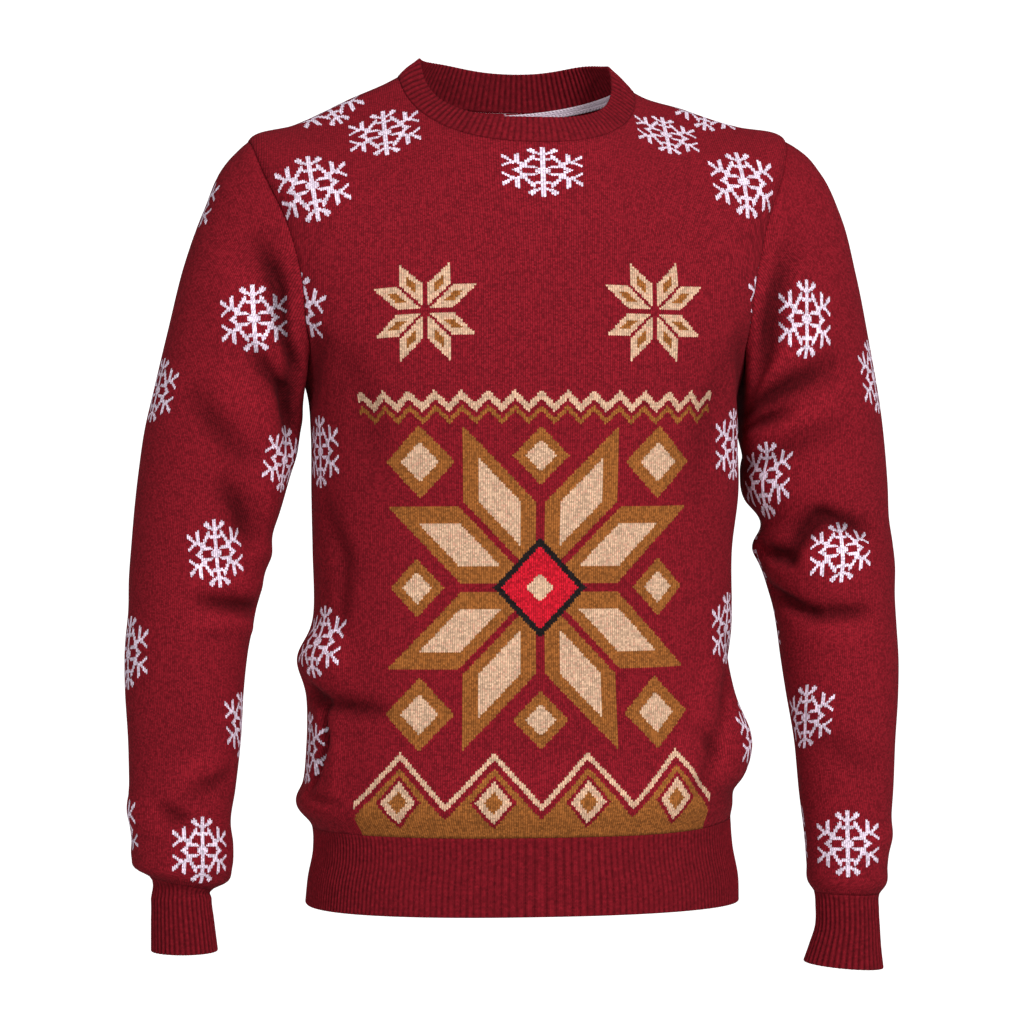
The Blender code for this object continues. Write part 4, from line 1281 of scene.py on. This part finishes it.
def stitch_relief(tree, column, row, across, up):
    """Height of the two legs of a stitch, and a chance number for each stitch."""
    leg = (across * 2.0).fract() * 2.0 - 1.0
    yarn = up * 2.0 - 1.0
    strands = ((up * 3.0 + abs(across - 0.5) * 5.0) * (2 * math.pi)).sine() * 0.05
    relief = ((1.0 - leg * leg) * (1.0 - yarn * yarn * 0.8)).larger(0.0) ** 0.5
    return relief + strands * relief, chance_of(tree, column, row)


def snowflake_mask(tree, column, row):
    """White stitches of a snowflake, read from its chart."""
    along = abs(column + 0.5).floor()
    line = abs(row)
    lookup = tree.nodes.new("ShaderNodeValToRGB")
    ramp = lookup.color_ramp
    ramp.interpolation = "CONSTANT"
    while len(ramp.elements) < len(SNOWFLAKE):
        ramp.elements.new(len(ramp.elements) / RAMP_STEPS)
    for number, letters in enumerate(SNOWFLAKE):
        halves = (letters[:8], letters[8:])
        bits = [sum(1 << n for n in range(8) if half[n] == "#") for half in halves]
        ramp.elements[number].position = number / RAMP_STEPS
        ramp.elements[number].color = (bits[0] / 255.0, bits[1] / 255.0, 0.0, 1.0)
    wire(tree, (line + 0.5) / RAMP_STEPS, lookup.inputs[0])
    parts = add_node(tree, "ShaderNodeSeparateColor", Color=lookup.outputs[0]).outputs
    near_bits, far_bits = Field(tree, parts[0]), Field(tree, parts[1])
    far_half = along > 7.5
    bits = near_bits + (far_bits - near_bits) * far_half
    power = worked(tree, "POWER", 2.0, along - far_half * 8.0)
    picked = ((bits * 255.0 + 0.5) / power).floor().remainder(2.0)
    return (picked & ((along < 15.5) & (line < len(SNOWFLAKE) - 0.5)),)


def petals(x, y, gap, reach):
    """An eight-petalled rose, from the ways to its two middle lines."""
    longer, shorter = x.larger(y), x.smaller(y)
    lean = longer - shorter
    return (shorter > gap) & (lean > gap) & (shorter < reach) & (lean < reach)


def panel_masks(tree, column, row):
    """Where each yarn of the front's panel of roses, diamonds and zigzags lies, in millimetres."""
    signed = (column + 0.5) * WALE
    x = abs(signed)
    y = (row + 0.5) * COURSE
    on_panel = x < PANEL_HALF_WIDTH

    # Zigzag border above the hem, with a diamond in each of its peaks
    across = (signed + PANEL_HALF_WIDTH) / PEAK_PERIOD
    edge = (1.0 - abs(across.fract() * 2.0 - 1.0)) * PEAK_HEIGHT + BORDER_HEIGHT
    from_peak = abs(across.fract() - 0.5) * PEAK_PERIOD
    diamond = from_peak + abs(y - 30.0) * 0.85
    border_line = (y > edge + 7.0) & (y < edge + 13.0) & on_panel
    brown = (y < edge) & on_panel & ~(diamond < 19.0) | (diamond < 8.0) & on_panel
    tan = (diamond < 15.0) & on_panel & ~(diamond < 8.0)

    # Large eight-petalled rose in the middle, brown with paler petals inset
    high = abs(y - ROSE_HEIGHT)
    inset = petals(x, high, 17.0, 53.0)
    ring = x + high
    core = ring < 34.0
    core_line = (ring < 41.0) & ~core
    heart = ring < 12.0
    brown = brown | petals(x, high, 4.0, 66.0) & ~inset
    tan = tan | inset

    # Small diamonds between the petals
    for middle_x, middle_y, reach in ROSE_DIAMONDS:
        away = abs(x - middle_x) + abs(high - middle_y)
        brown = brown | (away < reach) & (away > 0.55 * reach)
        tan = tan | (away < 0.55 * reach)

    # Zigzag line and two small roses on the chest
    wave = abs((signed / 22.0).fract() * 2.0 - 1.0) * 11.0
    tan = tan | (abs(y - 352.0 - wave) < 3.6) & on_panel
    brown = brown | (abs(y - 341.0 - wave) < 2.4) & on_panel
    chest = (abs(x - CHEST_ROSE[0]), abs(y - CHEST_ROSE[1]))
    chest_inset = petals(*chest, 7.5, 15.5)
    tan = tan | petals(*chest, 1.8, 21.0) & ~chest_inset
    brown = brown | chest_inset
    return tan | border_line, brown & ~core & ~core_line, core & ~heart, core_line, heart


def purl_relief(tree, stitches):
    """Bars of the back of the cloth, half a wale out of step from row to row."""
    across, up = across_and_up(tree, stitches)
    row = up.floor()
    shifted = across + row.remainder(2.0) * 0.5
    bar = shifted.fract() * 2.0 - 1.0
    rise = up.fract() * 2.0 - 1.0
    relief = ((1.0 - bar * bar) * (1.0 - rise * rise)).larger(0.0) ** 0.5
    return relief, chance_of(tree, shifted.floor(), row)


def make_effects():
    """The groups that the yarns share, by name, each with its named inputs and outputs."""
    spot = {"Column": 0.0, "Row": 0.0}
    place = {**spot, "Across": 0.0, "Up": 0.0}
    table = (
        (stitch_place, {"Stitches": None, "Slant": 0.55}, tuple(place)),
        (stitch_relief, place, ("Relief", "Chance")),
        (snowflake_mask, spot, ("White",)),
        (panel_masks, spot, ("Tan", "Brown", "Bright", "Black", "Pale")),
        (purl_relief, {"Stitches": None}, ("Relief", "Chance")),
    )
    effects = {}
    for make, values, outputs in table:
        inputs = [
            (label, "Vector") if value is None else (label, "Float", value)
            for label, value in values.items()
        ]
        results = [(label, "Float") for label in outputs]
        tree, start, ends = new_group(make.__name__, "ShaderNodeTree", inputs, results)
        made = make(tree, *(Field(tree, start.outputs[label]) for label in values))
        for label, field in zip(outputs, made):
            wire(tree, field, ends.inputs[label])
        effects[make.__name__] = tree
    return effects


def use(tree, effects, name, **links):
    """Outputs of a shared effect, by name."""
    node = add_node(tree, "ShaderNodeGroup", {"node_tree": effects[name]}, **links)
    return {socket.name: Field(tree, socket) for socket in node.outputs}


# ---- yarns
def blank_material(name, roughness, sheen, tint):
    material = bpy.data.materials.new(name)
    material.use_nodes = True
    shader = material.node_tree.nodes["Principled BSDF"]
    for label, value in (
        ("Roughness", roughness), ("Specular IOR Level", 0.06), ("Sheen Weight", sheen),
        ("Sheen Roughness", 0.6), ("Sheen Tint", tint),
    ):  # fmt: skip
        shader.inputs[label].default_value = value
    return material, material.node_tree, shader


def mixed(tree, colour, other, factor):
    """A colour turned towards another by a mask."""
    node = add_node(tree, "ShaderNodeMix", {"data_type": "RGBA"})
    for slot, value in ((6, colour), (7, other), (0, factor)):
        wire(tree, value, node.inputs[slot])
    return node.outputs[2]


def toned(tree, colour, tone):
    """A colour made darker or lighter by a number."""
    return first_of(
        tree, "ShaderNodeVectorMath", {"operation": "SCALE"}, Vector=colour, Scale=tone
    )


def soft_noise(tree, size, detail=2.0):
    """Slow change over the piece, from 0 to 1."""
    where = tree.nodes.new("ShaderNodeTexCoord").outputs["Object"]
    return Field(tree, first_of(
        tree, "ShaderNodeTexNoise", Vector=where, Scale=1.0 / size, Detail=detail
    ))  # fmt: skip


def raised(tree, shader, height, distance):
    bump = first_of(tree, "ShaderNodeBump", Strength=1.0, Distance=distance, Height=height)
    tree.links.new(bump, shader.inputs["Normal"])


def mark_of(tree, name):
    node = add_node(tree, "ShaderNodeAttribute", {"attribute_name": name})
    return Field(tree, node.outputs["Fac"])


def fold_shade(tree):
    """Painted shade down in a fold and painted light on a ridge: the colour darkens with a trough's depth
    and lightens with a ridge's height.
    """
    return (mark_of(tree, "fold") * 0.085 + 1.0).larger(0.34).smaller(1.12)


def map_of(tree, name):
    return first_of(tree, "ShaderNodeUVMap", {"uv_map": name})


def knit_yarn(name, effects, with_panel):
    """Face of the cloth: red V stitches with white snowflakes, and the panel on the front."""
    material, tree, shader = blank_material(name, 0.85, 0.02, SHEEN_RED)
    place = use(tree, effects, "stitch_place", Stitches=map_of(tree, "knit"))
    relief = use(tree, effects, "stitch_relief", **place)
    near = use(tree, effects, "stitch_place", Stitches=map_of(tree, "flake"))
    flake = use(tree, effects, "snowflake_mask", Column=near["Column"], Row=near["Row"])
    depth, chance = relief["Relief"], relief["Chance"]
    colour = mixed(tree, BURGUNDY, BURGUNDY_DEEP, chance * 0.35)
    if with_panel:
        panel = use(tree, effects, "panel_masks", Column=place["Column"], Row=place["Row"])
        tan = mixed(tree, OATMEAL, BURGUNDY, (chance > 0.86) * 0.35)
        for yarn, mask in (
            (CHESTNUT, "Brown"), (tan, "Tan"), (HOLLY_RED, "Bright"), (COAL, "Black"),
            (OATMEAL, "Pale"),
        ):  # fmt: skip
            colour = mixed(tree, colour, yarn, panel[mask])
    colour = mixed(tree, colour, SNOW_WHITE, flake["White"])
    patches = soft_noise(tree, 0.16)
    mottle = soft_noise(tree, 0.0021, 1.0)
    fuzz = soft_noise(tree, 0.0011, 1.0)
    # The tone mixes random change from stitch to stitch and over the piece with painted shade: darker in
    # the gaps between wales, in the low parts of each stitch and down in folds, with painted light on the
    # ridges of folds
    between = abs(place["Across"] * 2.0 - 1.0) ** 3.0
    tone = (0.42 + depth * 0.42 + chance * 0.74) * (1.0 - between * 0.7)
    tone = tone * (0.92 + patches * 0.16) * (0.84 + mottle * 0.5) * fold_shade(tree)
    tree.links.new(toned(tree, colour, tone), shader.inputs["Base Color"])
    wire(tree, 0.78 + fuzz * 0.16, shader.inputs["Roughness"])
    raised(tree, shader, depth + chance * 0.5 + fuzz * 0.5, 0.14 * MM)
    return material


def purl_yarn(name, effects):
    """Back of the cloth: bars in red, with a few flecks of the white floats."""
    material, tree, shader = blank_material(name, 0.9, 0.01, SHEEN_RED)
    bars = use(tree, effects, "purl_relief", Stitches=map_of(tree, "knit"))
    colour = mixed(tree, BURGUNDY_DEEP, BURGUNDY, bars["Chance"])
    colour = mixed(tree, colour, SNOW_WHITE, (bars["Chance"] > 0.965) * 0.5)
    # Painted shade: the colour darkens where a bar's relief is low, between the bars
    tone = 0.62 + bars["Relief"] * 0.42
    tree.links.new(toned(tree, colour, tone), shader.inputs["Base Color"])
    raised(tree, shader, bars["Relief"] + bars["Chance"] * 0.4, 0.2 * MM)
    return material


def rib_yarn(name, effects):
    """Ribbing: one wale of V stitches on each rib, with painted shade between the ribs."""
    material, tree, shader = blank_material(name, 0.87, 0.02, SHEEN_RED)
    place = use(tree, effects, "stitch_place", Stitches=map_of(tree, "knit"), Slant=0.8)
    relief = use(tree, effects, "stitch_relief", **place)
    phase = (across_and_up(tree, map_of(tree, "knit"))[0] - 0.5) * math.pi
    groove = 0.5 - phase.cosine() * 0.5
    standing = mark_of(tree, "rib_swell")
    colour = mixed(tree, BURGUNDY, BURGUNDY_DEEP, relief["Chance"] * 0.6)
    # Painted shade: darker in the low parts of each stitch and in the grooves between the ribs, the more
    # so where the ribs stand out; the chance number adds random tone
    tone = 0.46 + relief["Relief"] * 0.3 + relief["Chance"] * 0.44
    tone = tone * (1.0 - groove * groove * (standing * 0.18 + 0.36))
    tone = tone * (0.94 + soft_noise(tree, 0.12) * 0.12) * (0.6 + soft_noise(tree, 0.003, 1.0) * 0.8)
    tree.links.new(toned(tree, colour, tone), shader.inputs["Base Color"])
    raised(tree, shader, relief["Relief"] + relief["Chance"] * 0.4, 0.12 * MM)
    return material


def tape_yarn(name):
    """White linking yarn of the neck tape."""
    material, tree, shader = blank_material(name, 0.8, 0.2, SHEEN_WHITE)
    fuzz = soft_noise(tree, 0.0012)
    tree.links.new(mixed(tree, SNOW_WHITE, WORN_WHITE, fuzz), shader.inputs["Base Color"])
    raised(tree, shader, fuzz, 0.3 * MM)
    return material


# ---- studio
CAMERA_TURN = -8.0  # degrees round from straight ahead
CAMERA_AWAY = 2.7
VIEW_WIDTH = 0.8704  # metres across the view at the sweater's middle
SENSOR = 36.0  # millimetres
CAMERA_SHIFT = -0.00765
CAMERA_HEIGHT = -0.3672
FLOOR_LEVEL = -1.15
FLOOR_RADIUS = 4.5
FLOOR_CURVE = 3.0
WALL_TOP = 7.0
FLOOR_SIDES = 96
CURVE_STEPS = 12
STUDIO_GLOW = 0.12  # how much the studio lights the sweater
STUDIO_WHITE = 0.95
MIDDLE = (0.0, 0.0, -0.35)
# Lights: name, place, side and power
LIGHTS = (("key_light", (1.2, -2.65, 1.35), 1.0, 88.0), ("fill_light", (-2.0, -2.8, 0.5), 1.2, 38.0))


def camera():
    """Camera in front of the sweater and a little to its right side, level with its middle."""
    data = bpy.data.cameras.new("camera")
    data.sensor_width = SENSOR
    data.lens = SENSOR * CAMERA_AWAY / VIEW_WIDTH
    data.clip_end = 100.0
    piece = placed("camera", data)
    turn = math.radians(CAMERA_TURN)
    piece.location = (
        math.cos(turn) * CAMERA_SHIFT + math.sin(turn) * CAMERA_AWAY,
        math.sin(turn) * CAMERA_SHIFT - math.cos(turn) * CAMERA_AWAY,
        CAMERA_HEIGHT,
    )
    piece.rotation_euler = (math.radians(90.0), 0.0, turn)
    bpy.context.scene.camera = piece


def area_light(name, place, side, power):
    data = bpy.data.lights.new(name, "AREA")
    data.shape = "RECTANGLE"
    data.size = data.size_y = side
    data.energy = power
    light = placed(name, data)
    light.location = place
    light.rotation_euler = (Vector(place) - Vector(MIDDLE)).to_track_quat("Z", "Y").to_euler()
    light.visible_camera = False


def studio_floor():
    """A wide pale floor that curves up into a wall all round."""
    profile = [(0.0, 0.0), (FLOOR_RADIUS, 0.0)]
    for step in range(1, CURVE_STEPS + 1):
        angle = math.radians(90.0 * step / CURVE_STEPS)
        reach = FLOOR_RADIUS + FLOOR_CURVE * math.sin(angle)
        profile.append((reach, FLOOR_CURVE * (1.0 - math.cos(angle))))
    profile.append((FLOOR_RADIUS + FLOOR_CURVE, WALL_TOP))
    work = bmesh.new()
    rings = []
    for radius, height in profile:
        ring = []
        for step in range(FLOOR_SIDES):
            angle = 2 * math.pi * step / FLOOR_SIDES
            spot = (radius * math.cos(angle), radius * math.sin(angle), FLOOR_LEVEL + height)
            ring.append(work.verts.new(spot))
        rings.append(ring)
    for low, high in zip(rings[:-1], rings[1:]):
        for n in range(-1, FLOOR_SIDES - 1):
            work.faces.new((low[n], low[n + 1], high[n + 1], high[n]))
    bmesh.ops.remove_doubles(work, verts=work.verts, dist=1e-5)
    bmesh.ops.recalc_face_normals(work, faces=work.faces)
    mesh = bpy.data.meshes.new("studio_floor")
    work.to_mesh(mesh)
    work.free()
    mesh.shade_smooth()
    return placed("studio_floor", mesh)


def studio():
    """The floor, the air and large soft lights."""
    floor = studio_floor()
    material, tree, shader = blank_material("studio_paint", 0.9, 0.0, PLAIN_WHITE)
    shader.inputs["Base Color"].default_value = STUDIO_GREY
    shader.inputs["Emission Color"].default_value = PLAIN_WHITE
    seen = Field(tree, tree.nodes.new("ShaderNodeLightPath").outputs["Is Camera Ray"])
    wire(tree, seen * STUDIO_WHITE + STUDIO_GLOW, shader.inputs["Emission Strength"])
    floor.data.materials.append(material)

    world = bpy.data.worlds.new("studio_air")
    world.use_nodes = True
    air = world.node_tree.nodes["Background"]
    air.inputs[0].default_value = PLAIN_WHITE
    air.inputs[1].default_value = 0.1
    bpy.context.scene.world = world
    bpy.context.scene.view_settings.view_transform = "Standard"
    for light in LIGHTS:
        area_light(*light)


# ---- the sweater
# What each piece of cloth was cut to: slot, flat size, how it is held, area where it isn't square
SHEETS = {
    "front": ("body_knit", (0.56, 0.73), "hung", 0.36),
    "back": ("body_knit", (0.56, 0.73), "hung", 0.36),
    "sleeve_left": ("body_knit", (0.40, 0.62), "hung", 0.19),
    "sleeve_right": ("body_knit", (0.40, 0.62), "hung", 0.19),
    "hem_band": ("rib_knit", (0.92, 0.062), "stretched", None),
    "neckband": ("rib_knit", (0.50, 0.026), "stretched", None),
    "cuff_left": ("rib_knit", (0.17, 0.06), "stretched", None),
    "cuff_right": ("rib_knit", (0.17, 0.06), "stretched", None),
    "neck_tape": ("neck_tape", (0.26, 0.012), "folded", None),
}


def main():
    effects = make_effects()
    inside = purl_yarn("inside_knit", effects)
    front = (knit_yarn("front_knit", effects, True), inside)
    plain = (knit_yarn("snowflake_knit", effects, False), inside)
    rib = rib_yarn("rib_knit", effects)
    of_body = partial(ribbed_band, form=body, form_facing=body_facing, material=rib)
    pieces = {
        "front": body_panel("front_panel", True, FRONT_FLAKES, front),
        "back": body_panel("back_panel", False, BACK_FLAKES, plain),
        "sleeve_left": sleeve_piece("left_sleeve", 1, LEFT_SLEEVE_FLAKES, plain),
        "sleeve_right": sleeve_piece("right_sleeve", -1, RIGHT_SLEEVE_FLAKES, plain),
        "hem_band": of_body(
            "hem_ribbing", ribs=HEM_RIBS, seam=HEM_SEAM, edge=HEM_EDGE, rows=BAND_ROWS["hem"],
            slack=hem_slack,
        ),
        "neckband": of_body(
            "collar_ribbing", ribs=COLLAR_RIBS, seam=NECK_SEAM, edge=COLLAR_EDGE,
            rows=BAND_ROWS["collar"], slack=collar_slack,
        ),
        "cuff_left": cuff("left_cuff_ribbing", 1, rib),
        "cuff_right": cuff("right_cuff_ribbing", -1, rib),
        "neck_tape": neck_tape("back_neck_tape", tape_yarn("linking_yarn")),
    }  # fmt: skip
    for node, (slot, flat, held, area) in SHEETS.items():
        piece = pieces[node]
        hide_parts(node)
        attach(piece, "root")
    camera()
    studio()


main()
